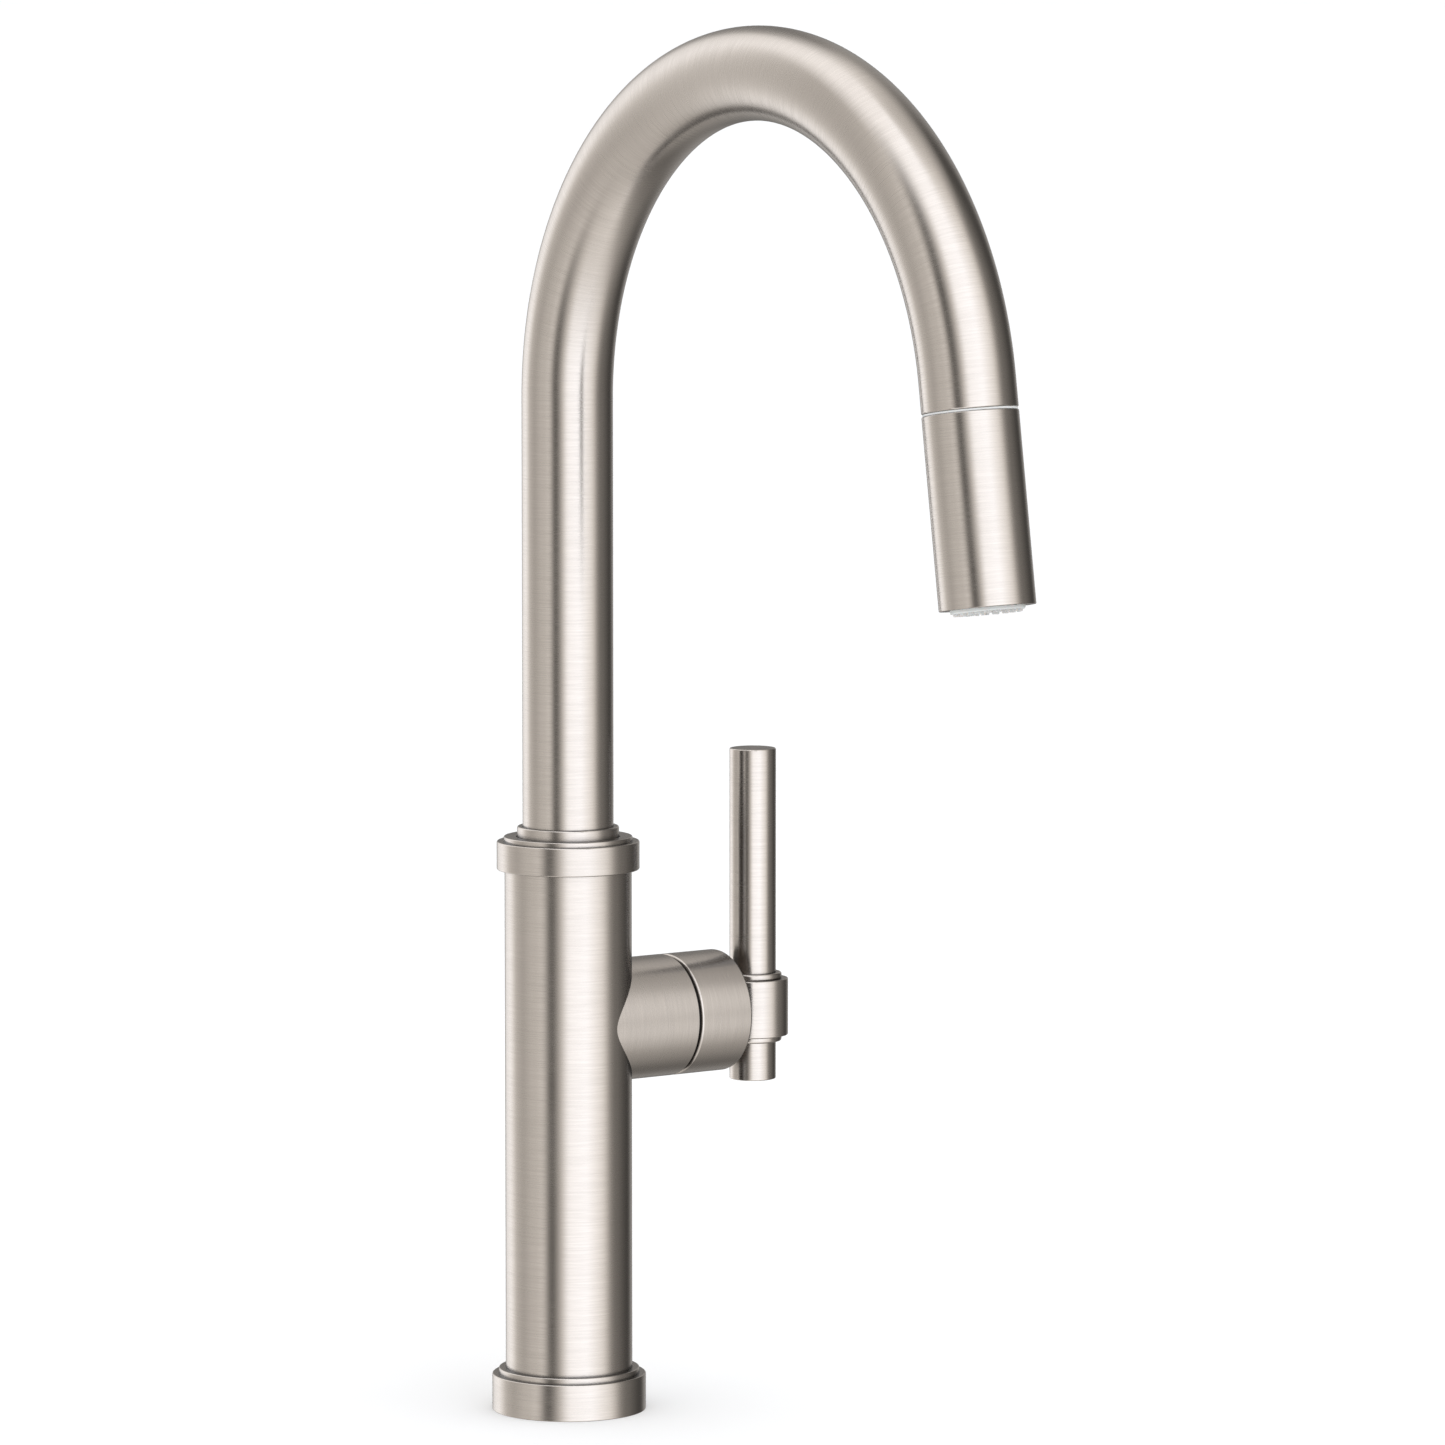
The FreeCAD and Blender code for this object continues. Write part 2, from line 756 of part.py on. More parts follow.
def waterway():
    """The plastic body inside the wand, bored for the hose, the check valve and the spool."""
    body = turned([
        (socket_radius, -6.05), (body_fit, -6.05), (body_fit, -waterway_far), (0, -waterway_far),
        (0, -31.0), (6.2, -31.0), (6.2, -18.0), (socket_radius, -18.0),
    ])
    feed = bar(3.2, at(0, 0, -30.0), at(0, 0, -button_s))
    spool_bore = bar(4.2, at(0, -12.6, -button_s), at(0, 15.0, -button_s))
    spray_way = bar(2.0, at(0, -6.0, -button_s), at(0, -6.0, -waterway_far - 1))
    stream_way = bar(2.0, at(0, 2.5, -button_s), at(0, 2.5, -waterway_far - 1))
    pocket = block(at(-6.2, 8.8, -button_s - 9.0), at(6.2, 15.0, -button_s + 9.0))
    return on_wand(body.cut([feed, spool_bore, spray_way, stream_way, pocket]))


def hose_nut():
    """The nut in the top of the wand that holds the hose's tail."""
    return wand_turned([
        (6.15, 1.5), (7.6, 1.5), (socket_radius - slip, 5.0), (socket_radius - slip, 15.4),
        (7.8, 15.4), (7.8, 12.5), (6.15, 12.5),
    ])


def hose_seal():
    return wand_ring(7.8, 3.4, 15.45, 17.0)


def inlet_filter():
    return wand_ring(8.6, 1.0, 17.05, 17.9)


def check_valve():
    """A push-in check valve that stops water running back up the hose."""
    return wand_turned([
        (3.4, 18.1), (6.15, 18.1), (6.15, 21.0), (5.6, 21.0), (5.6, 23.0), (6.15, 23.0),
        (6.15, 30.6), (4.4, 30.6), (4.4, 26.0), (3.4, 26.0),
    ])


spool_radius = 4.15


def spool_outline():
    """The spool's profile along the button's line of travel, from its inner end."""
    return [
        (0, -8.6), (4.0, -8.6), (4.0, -7.4), (3.0, -7.4), (3.0, -5.6), (4.0, -5.6), (4.0, -3.4),
        (2.2, -3.4), (2.2, 5.2), (4.0, 5.2), (4.0, 6.4), (3.0, 6.4), (3.0, 8.2), (4.0, 8.2),
        (4.0, 9.2), (2.0, 9.2), (2.0, 11.2), (0, 11.2),
    ]


def along_button(shape):
    """Turns a shape built along Z to lie along the button's line of travel."""
    placed = shape.copy()
    placed.rotate(origin, x_way, -90)
    placed.translate(at(0, 0, -button_s))
    return on_wand(placed)


def diverter_spool():
    """The spool that sends the water to the spray or to the stream."""
    return along_button(turned(spool_outline()))


def spool_seals():
    return [along_button(ring(spool_radius, 3.0 + slip, low, low + 1.6)) for low in (-7.3, 6.5)]


def button_spring():
    return along_button(ring(3.7, 2.6, -12.5, -8.7))


def spray_button():
    """The push button on the back of the wand, flush at its rim and slightly proud."""
    crown = button_pad(button_half_width, button_half_length, 11.9, 20.0)
    limit = bar(wand_radius + button_stand_out, at(0, 0, -70.0), at(0, 0, -20.0))
    crown = crown.common(limit)
    rim = button_pad(button_half_width + 0.9, button_half_length + 0.9, 11.2, 12.4)
    socket = Part.makeCylinder(2.0 + slip, 6.0, at(0, 5.2, -button_s), y_way)
    return on_wand(crown.fuse(rim).cut(socket).removeSplitter())


def spray_body():
    """The distributor that feeds the ring of nozzles and the aerator."""
    return wand_ring(body_fit, 6.2, waterway_far + slip, 55.7)


def nozzle_places():
    """Middle of each spray nozzle, in two circles on the face."""
    places = []
    for radius, count, start in ((10.6, 20, 0.0), (8.3, 14, 0.5)):
        for k in range(count):
            angle = 2 * math.pi * (k + start) / count
            places.append((radius * math.cos(angle), radius * math.sin(angle)))
    return places


def nozzle_bars(radius, near, far):
    return [bar(radius, at(x, y, -near), at(x, y, -far)) for x, y in nozzle_places()]


def spray_face():
    face = turned([
        (6.4, -57.2), (body_fit, -57.2), (body_fit, -62.5), (face_radius, -62.5),
        (face_radius, -face_far + 0.4), (face_radius - 0.4, -face_far), (6.4, -face_far),
    ])
    return on_wand(face.cut(nozzle_bars(0.85, 57.0, 66.0)))


def spray_nozzles():
    """The rubber mat behind the face and the soft nozzles that stand through it."""
    mat = ring(body_fit - 0.4, 6.6, -57.15, -55.75)
    return on_wand(mat.fuse(nozzle_bars(0.8, 56.5, nozzle_far)))


def aerator():
    """The stream outlet in the middle of the face."""
    return wand_turned([
        (4.9, waterway_far + slip), (6.15, waterway_far + slip), (6.15, 64.2), (5.75, 64.6),
        (5.0, 64.6), (5.0, 62.6), (4.9, 62.6),
    ])


def aerator_screens():
    """Two perforated discs that mix air into the stream."""
    screens = []
    for near in (52.0, 61.6):
        disc = turned([(0, -near - 0.9), (4.85, -near - 0.9), (4.85, -near), (0, -near)])
        holes = []
        for radius, count in ((0.0, 1), (1.9, 6), (3.7, 12)):
            for k in range(count):
                angle = 2 * math.pi * k / count
                x = radius * math.cos(angle)
                y = radius * math.sin(angle)
                holes.append(bar(0.5, at(x, y, -near - 2), at(x, y, -near + 1)))
        screens.append(on_wand(disc.cut(holes)))
    return screens


# Every sub-part, one node each

sub_parts = {
    "base_flange": base_flange,
    "deck_gasket": deck_gasket,
    "shank": shank,
    "rubber_washer": rubber_washer,
    "steel_washer": steel_washer,
    "mounting_nut": mounting_nut,
    "clamp_screws": clamp_screws,
    "body_column": body_column,
    "valve_core": valve_core,
    "port_seals": port_seals,
    "cartridge_base": cartridge_base,
    "cartridge_housing": cartridge_housing,
    "fixed_disc": fixed_disc,
    "moving_disc": moving_disc,
    "disc_slider": disc_slider,
    "stem_rotor": stem_rotor,
    "drive_plate": drive_plate,
    "retaining_nut": retaining_nut,
    "glide_ring": glide_ring,
    "handle_cap": handle_cap,
    "valve_stem": valve_stem,
    "stem_pin": stem_pin,
    "stem_shroud": stem_shroud,
    "handle_hub": handle_hub,
    "rod_screw": rod_screw,
    "set_screw": set_screw,
    "hub_rings": hub_rings,
    "lever_rod": lever_rod,
    "top_collar": top_collar,
    "step_ring": step_ring,
    "slip_washer": slip_washer,
    "spout_bearing": spout_bearing,
    "wear_rings": wear_rings,
    "swivel_seal": swivel_seal,
    "spout_ring": spout_ring,
    "spout_tube": spout_tube,
    "dock_insert": dock_insert,
    "dock_magnet": dock_magnet,
    "hose_guide": hose_guide,
    "spray_hose": spray_hose,
    "hose_plug": hose_plug,
    "hose_end": hose_end,
    "hose_tail": hose_tail,
    "wand_collar": wand_collar,
    "catch_plate": catch_plate,
    "wand_shell": wand_shell,
    "waterway": waterway,
    "hose_nut": hose_nut,
    "hose_seal": hose_seal,
    "inlet_filter": inlet_filter,
    "check_valve": check_valve,
    "diverter_spool": diverter_spool,
    "spool_seals": spool_seals,
    "button_spring": button_spring,
    "spray_button": spray_button,
    "spray_body": spray_body,
    "spray_face": spray_face,
    "spray_nozzles": spray_nozzles,
    "aerator": aerator,
    "aerator_screens": aerator_screens,
}

os.makedirs("parts", exist_ok=True)
for name, make in sub_parts.items():
    made = make()
    shape = Part.makeCompound(made) if isinstance(made, list) else made
    shape.exportStep("parts/" + name + ".step")
    box = shape.BoundBox
    print(name, "solids", len(shape.Solids), "volume", round(shape.Volume, 1), "valid", shape.isValid(),
          "z", round(box.ZMin, 2), round(box.ZMax, 2))
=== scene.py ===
import math

import bmesh
import bpy
from mathutils import Matrix, Vector


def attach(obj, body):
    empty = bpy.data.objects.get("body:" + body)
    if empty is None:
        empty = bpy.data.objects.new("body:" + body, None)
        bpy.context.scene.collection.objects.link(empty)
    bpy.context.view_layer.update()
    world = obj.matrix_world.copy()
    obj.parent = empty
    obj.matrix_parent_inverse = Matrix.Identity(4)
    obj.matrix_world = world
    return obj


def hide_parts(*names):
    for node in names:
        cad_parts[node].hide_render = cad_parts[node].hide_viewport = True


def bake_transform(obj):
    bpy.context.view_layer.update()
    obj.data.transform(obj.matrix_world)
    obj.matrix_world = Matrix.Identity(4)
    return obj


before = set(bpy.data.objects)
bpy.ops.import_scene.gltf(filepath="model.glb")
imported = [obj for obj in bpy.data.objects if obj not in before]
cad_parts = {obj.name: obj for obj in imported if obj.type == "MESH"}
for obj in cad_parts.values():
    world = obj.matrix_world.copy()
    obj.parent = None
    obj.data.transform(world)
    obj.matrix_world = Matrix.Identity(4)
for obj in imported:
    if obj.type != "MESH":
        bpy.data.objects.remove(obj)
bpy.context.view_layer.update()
print("frame loaded,", len(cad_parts), "CAD nodes")

# sizes of the whole faucet, in mm; every piece is modelled in mm and scaled once when it is placed
faucet = {
    "columnRadius": 22.225,
    "archRadius": 114.3,
    "archHeight": 355.6,
    "archTurn": 171.34,  # degrees
    "archTail": 10.5,
    "handleHeight": 136.1,
    "leverX": 79.75,
}

mm = 0.001  # metres
toMetres = Matrix.Scale(mm, 4)
mergeGap = 1e-4
axisGap = 1e-5  # a point this close to Z lies on it
poleRadius = 0.01  # closer to Z than this, a point has no angle of its own
sharpAngle = math.radians(35)
fullTurn = 2 * math.pi
tilt = math.radians(180 - faucet["archTurn"])
outletWay = Vector((0, -math.sin(tilt), -math.cos(tilt)))
archEnd = Vector((
    0,
    -faucet["archRadius"] * (1 + math.cos(tilt)),
    faucet["archHeight"] + faucet["archRadius"] * math.sin(tilt),
))
seam = archEnd + outletWay * faucet["archTail"]

# where a piece that was modelled upright about Z is placed
upright = Matrix.Identity(4)
onHandle = Matrix.Translation((0, 0, faucet["handleHeight"])) @ Matrix.Rotation(math.pi / 2, 4, "Y")
onLever = Matrix.Translation((faucet["leverX"], 0, faucet["handleHeight"]))
onWand = Matrix.Translation(seam) @ Matrix.Rotation(-tilt, 4, "X")


def addNode(tree, kind, x=0, y=0, **settings):
    node = tree.nodes.new(kind)
    node.location = (x, y)
    for key, value in settings.items():
        setattr(node, key, value)
    return node


def setInputs(node, **values):
    for key, value in values.items():
        node.inputs[key.replace("_", " ")].default_value = value
    return node


def mathNode(tree, operation, first, second=None, x=0, y=0):
    node = addNode(tree, "ShaderNodeMath", x, y, operation=operation)
    for socket, value in zip(node.inputs, (first, second)):
        if value is None:
            continue
        if isinstance(value, (int, float)):
            socket.default_value = value
        else:
            tree.links.new(value, socket)
    return node.outputs[0]


def rangeNode(tree, value, low, high, toLow, toHigh, x=0, y=0):
    node = addNode(tree, "ShaderNodeMapRange", x, y)
    setInputs(node, From_Min=low, From_Max=high, To_Min=toLow, To_Max=toHigh)
    tree.links.new(value, node.inputs["Value"])
    return node.outputs["Result"]


def newGroup(name, inputs, outputs):
    tree = bpy.data.node_groups.new(name, "ShaderNodeTree")
    for label, kind, value in inputs:
        socket = tree.interface.new_socket(name=label, in_out="INPUT", socket_type=kind)
        if value is not None:
            socket.default_value = value
    for label, kind in outputs:
        tree.interface.new_socket(name=label, in_out="OUTPUT", socket_type=kind)
    return tree, addNode(tree, "NodeGroupInput", -900, 0), addNode(tree, "NodeGroupOutput", 700, 0)


# fine lines that run round a turned piece, from coordinates whose z runs along it
def buildBrushing():
    tree, source, target = newGroup(
        "circularBrushing",
        [
            ("Vector", "NodeSocketVector", None),
            ("Lines per mm", "NodeSocketFloat", 2.6),
            ("Line length mm", "NodeSocketFloat", 12.0),
            ("Broad share", "NodeSocketFloat", 0.18),
        ],
        [("Lines", "NodeSocketFloat"), ("Scratches", "NodeSocketFloat")],
    )
    shorter = mathNode(tree, "DIVIDE", 1.0, source.outputs["Line length mm"], -700, -200)

    def lineNoise(share, detail, seed, x, y):
        along = mathNode(tree, "MULTIPLY", source.outputs["Lines per mm"], share, x, y)
        stretch = addNode(tree, "ShaderNodeCombineXYZ", x + 180, y)
        tree.links.new(shorter, stretch.inputs["X"])
        tree.links.new(shorter, stretch.inputs["Y"])
        tree.links.new(along, stretch.inputs["Z"])
        scaled = addNode(tree, "ShaderNodeVectorMath", x + 360, y, operation="MULTIPLY")
        tree.links.new(source.outputs["Vector"], scaled.inputs[0])
        tree.links.new(stretch.outputs["Vector"], scaled.inputs[1])
        moved = addNode(tree, "ShaderNodeVectorMath", x + 540, y, operation="ADD")
        moved.inputs[1].default_value = (seed, seed * 0.7, seed * 1.3)
        tree.links.new(scaled.outputs["Vector"], moved.inputs[0])
        noise = addNode(tree, "ShaderNodeTexNoise", x + 720, y)
        setInputs(noise, Scale=1.0, Detail=detail, Roughness=0.6)
        tree.links.new(moved.outputs["Vector"], noise.inputs["Vector"])
        return noise.outputs["Fac"]

    fine = lineNoise(1.0, 3.0, 0.0, -500, 300)
    broad = lineNoise(0.22, 2.0, 17.0, -500, 0)
    rare = lineNoise(0.7, 1.0, 41.0, -500, -300)
    mix = addNode(tree, "ShaderNodeMix", 400, 150, data_type="FLOAT")
    tree.links.new(source.outputs["Broad share"], mix.inputs[0])
    tree.links.new(fine, mix.inputs[2])
    tree.links.new(broad, mix.inputs[3])
    tree.links.new(rangeNode(tree, mix.outputs[0], 0.34, 0.66, 0.0, 1.0, 550, 150), target.inputs["Lines"])
    tree.links.new(rangeNode(tree, rare, 0.62, 0.74, 0.0, 1.0, 550, -150), target.inputs["Scratches"])
    return tree


# slow clouds of handling marks, and a fine speckle, for any material
def buildPatina():
    tree, source, target = newGroup(
        "patina",
        [("Vector", "NodeSocketVector", None), ("Size mm", "NodeSocketFloat", 30.0)],
        [("Clouds", "NodeSocketFloat"), ("Speckle", "NodeSocketFloat")],
    )
    scale = mathNode(tree, "DIVIDE", 1.0, source.outputs["Size mm"], -700, 0)
    clouds = addNode(tree, "ShaderNodeTexNoise", -300, 150)
    setInputs(clouds, Detail=3.0, Roughness=0.55, Distortion=0.4)
    tree.links.new(source.outputs["Vector"], clouds.inputs["Vector"])
    tree.links.new(scale, clouds.inputs["Scale"])
    speckle = addNode(tree, "ShaderNodeTexNoise", -300, -150)
    setInputs(speckle, Detail=2.0, Roughness=0.6)
    tree.links.new(source.outputs["Vector"], speckle.inputs["Vector"])
    tree.links.new(mathNode(tree, "MULTIPLY", scale, 60.0, -500, -150), speckle.inputs["Scale"])
    cloudMask = rangeNode(tree, clouds.outputs["Fac"], 0.35, 0.65, 0.0, 1.0, 100, 150)
    speckleMask = rangeNode(tree, speckle.outputs["Fac"], 0.3, 0.7, 0.0, 1.0, 100, -150)
    tree.links.new(cloudMask, target.inputs["Clouds"])
    tree.links.new(speckleMask, target.inputs["Speckle"])
    return tree


# two sets of strands wound opposite ways, each over and under the other
def buildBraid():
    tree, source, target = newGroup(
        "hoseBraid",
        [
            ("Around", "NodeSocketFloat", 0.0),  # turns
            ("Along", "NodeSocketFloat", 0.0),  # mm
            ("Strands", "NodeSocketFloat", 16.0),
            ("Pitch mm", "NodeSocketFloat", 2.2),
        ],
        [("Height", "NodeSocketFloat"), ("Over", "NodeSocketFloat")],
    )
    turns = mathNode(tree, "MULTIPLY", source.outputs["Around"], source.outputs["Strands"], -700, 100)
    steps = mathNode(tree, "DIVIDE", source.outputs["Along"], source.outputs["Pitch mm"], -700, -100)
    right = mathNode(tree, "ADD", turns, steps, -500, 100)
    left = mathNode(tree, "SUBTRACT", turns, steps, -500, -100)

    def strand(value, y):
        share = mathNode(tree, "FRACT", value, None, -300, y)
        centred = mathNode(tree, "SUBTRACT", share, 0.5, -150, y)
        squared = mathNode(tree, "MULTIPLY", centred, centred, 0, y)
        return mathNode(tree, "SUBTRACT", 1.0, mathNode(tree, "MULTIPLY", squared, 4.0, 100, y), 200, y)

    floors = mathNode(
        tree, "ADD", mathNode(tree, "FLOOR", right, None, -300, -300),
        mathNode(tree, "FLOOR", left, None, -300, -400), -100, -350,
    )
    over = mathNode(tree, "FLOORED_MODULO", floors, 2.0, 50, -350)
    mix = addNode(tree, "ShaderNodeMix", 450, 0, data_type="FLOAT")
    tree.links.new(over, mix.inputs[0])
    tree.links.new(strand(right, 150), mix.inputs[2])
    tree.links.new(strand(left, -100), mix.inputs[3])
    tree.links.new(mix.outputs[0], target.inputs["Height"])
    tree.links.new(over, target.inputs["Over"])
    return tree


brushing = buildBrushing()
patina = buildPatina()
braid = buildBraid()


def newMaterial(name, **settings):
    material = bpy.data.materials.new(name)
    material.use_nodes = True
    tree = material.node_tree
    tree.nodes.clear()
    shader = addNode(tree, "ShaderNodeBsdfPrincipled", 300, 0)
    output = addNode(tree, "ShaderNodeOutputMaterial", 600, 0)
    tree.links.new(shader.outputs["BSDF"], output.inputs["Surface"])
    setInputs(shader, **settings)
    return material, tree, shader


def useGroup(tree, group, x, y, **values):
    node = addNode(tree, "ShaderNodeGroup", x, y, node_tree=group)
    return setInputs(node, **values)


# each colour is a fixed one or comes from another node
def mixColours(tree, mask, first, second, x, y):
    mix = addNode(tree, "ShaderNodeMix", x, y, data_type="RGBA")
    tree.links.new(mask, mix.inputs[0])
    for socket, value in zip((mix.inputs[6], mix.inputs[7]), (first, second)):
        if isinstance(value, tuple):
            socket.default_value = (*value, 1)
        else:
            tree.links.new(value, socket)
    return mix.outputs[2]


def addBump(tree, shader, height, strength, depthMm):
    bump = addNode(tree, "ShaderNodeBump", 100, -300)
    setInputs(bump, Strength=strength, Distance=depthMm * mm)
    tree.links.new(height, bump.inputs["Height"])
    tree.links.new(bump.outputs["Normal"], shader.inputs["Normal"])


nickelLook = {
    "dark": (0.618, 0.549, 0.482),
    "light": (0.672, 0.598, 0.526),
    "smooth": 0.225,
    "rough": 0.285,
    "anisotropic": 0.55,
    "highlightTurn": 0.25,  # of a full turn, so that highlights stretch across the lines
    "linesPerMm": 1.9,
    "lineLength": 15.0,
    "cloudSize": 35.0,
    "cloudSmooth": -0.015,  # what the clouds add to the roughness
    "cloudRough": 0.02,
    "bump": 0.5,
    "depthMm": 0.0012,
}


def brushedMetal(name, look):
    material, tree, shader = newMaterial(
        name, Metallic=1.0, Anisotropic=look["anisotropic"], Anisotropic_Rotation=look["highlightTurn"],
    )
    place = addNode(tree, "ShaderNodeAttribute", -900, 0, attribute_name="brush")
    lines = useGroup(
        tree, brushing, -650, 100, Lines_per_mm=look["linesPerMm"], Line_length_mm=look["lineLength"],
    )
    marks = useGroup(tree, patina, -650, -200, Size_mm=look["cloudSize"])
    tree.links.new(place.outputs["Vector"], lines.inputs["Vector"])
    tree.links.new(place.outputs["Vector"], marks.inputs["Vector"])
    colour = mixColours(tree, lines.outputs["Lines"], look["dark"], look["light"], 0, 200)
    tree.links.new(colour, shader.inputs["Base Color"])
    roughness = rangeNode(tree, lines.outputs["Lines"], 0.0, 1.0, look["rough"], look["smooth"], -300, 0)
    clouded = rangeNode(
        tree, marks.outputs["Clouds"], 0.0, 1.0, look["cloudSmooth"], look["cloudRough"], -300, -200,
    )
    tree.links.new(mathNode(tree, "ADD", roughness, clouded, -100, -100), shader.inputs["Roughness"])
    height = mathNode(tree, "SUBTRACT", lines.outputs["Lines"], lines.outputs["Scratches"], -300, -400)
    addBump(tree, shader, height, look["bump"], look["depthMm"])
    tangent = addNode(tree, "ShaderNodeTangent", 0, -500, direction_type="UV_MAP", uv_map="brushUV")
    tree.links.new(tangent.outputs["Tangent"], shader.inputs["Tangent"])
    return material


plainGrain = {"cloudSize": 20.0, "depthMm": 0.05}


# a plain machined or moulded material, with no run to its grain
def plainMaterial(name, first, second, smooth, rough, bump=0.1, **settings):
    material, tree, shader = newMaterial(name, **settings)
    place = addNode(tree, "ShaderNodeTexCoord", -1100, 0)
    inMm = addNode(tree, "ShaderNodeMapping", -900, 0)
    inMm.inputs["Scale"].default_value = (1 / mm, 1 / mm, 1 / mm)
    tree.links.new(place.outputs["Object"], inMm.inputs["Vector"])
    marks = useGroup(tree, patina, -650, 0, Size_mm=plainGrain["cloudSize"])
    tree.links.new(inMm.outputs["Vector"], marks.inputs["Vector"])
    colour = mixColours(tree, marks.outputs["Clouds"], first, second, 0, 200)
    tree.links.new(colour, shader.inputs["Base Color"])
    roughness = rangeNode(tree, marks.outputs["Speckle"], 0.0, 1.0, smooth, rough, -300, 0)
    tree.links.new(roughness, shader.inputs["Roughness"])
    addBump(tree, shader, marks.outputs["Speckle"], bump, plainGrain["depthMm"])
    return material


nickel = brushedMetal("brushedNickel", nickelLook)
brass = plainMaterial("castBrass", (0.60, 0.42, 0.17), (0.72, 0.53, 0.25), 0.28, 0.42, Metallic=1.0)
steel = plainMaterial("plainSteel", (0.50, 0.50, 0.50), (0.62, 0.62, 0.61), 0.26, 0.40, Metallic=1.0)
blackRubber = plainMaterial("blackRubber", (0.012, 0.012, 0.012), (0.024, 0.023, 0.022), 0.62, 0.80, bump=0.3)
greyRubber = plainMaterial(
    "softGreyRubber", (0.58, 0.565, 0.545), (0.65, 0.635, 0.61), 0.45, 0.58,
    bump=0.15, Subsurface_Weight=0.15,
)
blackPlastic = plainMaterial("blackPlastic", (0.016, 0.016, 0.017), (0.028, 0.028, 0.029), 0.36, 0.48)
whitePlastic = plainMaterial("whitePlastic", (0.74, 0.73, 0.71), (0.80, 0.79, 0.77), 0.34, 0.46)
palePlastic = plainMaterial(
    "palePlastic", (0.72, 0.70, 0.675), (0.80, 0.78, 0.755), 0.26, 0.40, Subsurface_Weight=0.1,
)
ceramic = plainMaterial("ceramic", (0.80, 0.78, 0.73), (0.86, 0.85, 0.81), 0.10, 0.18, bump=0.02)
magnetGrey = plainMaterial("magnetGrey", (0.055, 0.056, 0.06), (0.085, 0.086, 0.09), 0.40, 0.55)

braidLook = {
    # dark and light are the two ends of a painted shade, from the creases between strands to their crowns
    "dark": (0.10, 0.10, 0.11),
    "light": (0.42, 0.42, 0.43),
    "strands": 12.0,
    "pitchMm": 3.0,
    "bump": 0.8,
    "depthMm": 0.3,
}


def braidedHose():
    material, tree, shader = newMaterial("hoseBraid", Roughness=0.5, Specular_IOR_Level=0.4)
    place = addNode(tree, "ShaderNodeUVMap", -1000, 0, uv_map="brushUV")
    split = addNode(tree, "ShaderNodeSeparateXYZ", -800, 0)
    tree.links.new(place.outputs["UV"], split.inputs["Vector"])
    weave = useGroup(tree, braid, -550, 0, Strands=braidLook["strands"], Pitch_mm=braidLook["pitchMm"])
    tree.links.new(split.outputs["X"], weave.inputs["Around"])
    tree.links.new(split.outputs["Y"], weave.inputs["Along"])
    # painted shade: the colour follows the weave's height, darkest in the creases between strands and lighter
    # on their crowns
    paintedStrandShade = rangeNode(tree, weave.outputs["Height"], 0.1, 0.9, 0.0, 1.0, -300, 100)
    colour = mixColours(tree, paintedStrandShade, braidLook["dark"], braidLook["light"], 0, 200)
    tree.links.new(colour, shader.inputs["Base Color"])
    addBump(tree, shader, weave.outputs["Height"], braidLook["bump"], braidLook["depthMm"])
    return material


hoseFinish = braidedHose()
print("materials made")


# sweeps a closed outline of (radius, height, corner rounding) points once round Z
def turn(outline, steps, segments=3):
    bm = bmesh.new()
    corners = [(bm.verts.new((radius, 0, height)), rounding) for radius, height, rounding in outline]
    bm.faces.new([vert for vert, rounding in corners])
    for size in sorted({rounding for vert, rounding in corners if rounding > 0}):
        picked = [vert for vert, rounding in corners if rounding == size]
        bmesh.ops.bevel(
            bm, geom=picked, offset=size, offset_type="OFFSET", affect="VERTICES",
            segments=segments, profile=0.5, material=-1,
        )
    bmesh.ops.delete(bm, geom=bm.faces[:], context="FACES_ONLY")
    onAxis = [edge for edge in bm.edges if all(abs(vert.co.x) < axisGap for vert in edge.verts)]
    bmesh.ops.delete(bm, geom=onAxis, context="EDGES")
    bmesh.ops.spin(
        bm, geom=bm.verts[:] + bm.edges[:], cent=(0, 0, 0), axis=(0, 0, 1), dvec=(0, 0, 0),
        angle=fullTurn, steps=steps, use_merge=True,
    )
    bmesh.ops.remove_doubles(bm, verts=bm.verts[:], dist=mergeGap)
    bmesh.ops.recalc_face_normals(bm, faces=bm.faces[:])
    return bm


# joins or cuts one solid with others, with exact booleans
def combine(bm, others, operation):
    subject = bpy.data.objects.new("combining", bpy.data.meshes.new("combining"))
    bm.to_mesh(subject.data)
    bm.free()
    bpy.context.scene.collection.objects.link(subject)
    tools = []
    for other in others:
        tool = bpy.data.objects.new("tool", bpy.data.meshes.new("tool"))
        other.to_mesh(tool.data)
        other.free()
        bpy.context.scene.collection.objects.link(tool)
        modifier = subject.modifiers.new("Boolean", "BOOLEAN")
        modifier.object = tool
        modifier.operation = operation
        modifier.solver = "EXACT"
        tools.append(tool)
    depsgraph = bpy.context.evaluated_depsgraph_get()
    made = bpy.data.meshes.new_from_object(subject.evaluated_get(depsgraph))
    result = bmesh.new()
    result.from_mesh(made)
    for used in [subject, *tools]:
        bpy.data.objects.remove(used)
    bpy.data.meshes.remove(made)
    bmesh.ops.remove_doubles(result, verts=result.verts[:], dist=mergeGap)
    bmesh.ops.dissolve_degenerate(result, edges=result.edges[:], dist=mergeGap)
    return result


# adds a second shape to a mesh without joining the two
def addTo(bm, other):
    spare = bpy.data.meshes.new("spare")
    other.to_mesh(spare)
    other.free()
    bm.from_mesh(spare)
    bpy.data.meshes.remove(spare)


def vertsIn(items):
    return [item for item in items if isinstance(item, bmesh.types.BMVert)]


# extrudes an open ring of edges by some way, and gives the new ring
def pushOn(bm, edges, way):
    made = bmesh.ops.extrude_edge_only(bm, edges=edges)["geom"]
    bmesh.ops.translate(bm, vec=way, verts=vertsIn(made))
    return [item for item in made if isinstance(item, bmesh.types.BMEdge) and item.is_boundary]


# turns an open shell the right way out, by one of its faces and a point on its inner side
def faceAwayFrom(bm, face, inside):
    if face.normal.dot(face.calc_center_median() - inside) < 0:
        bmesh.ops.reverse_faces(bm, faces=bm.faces[:])


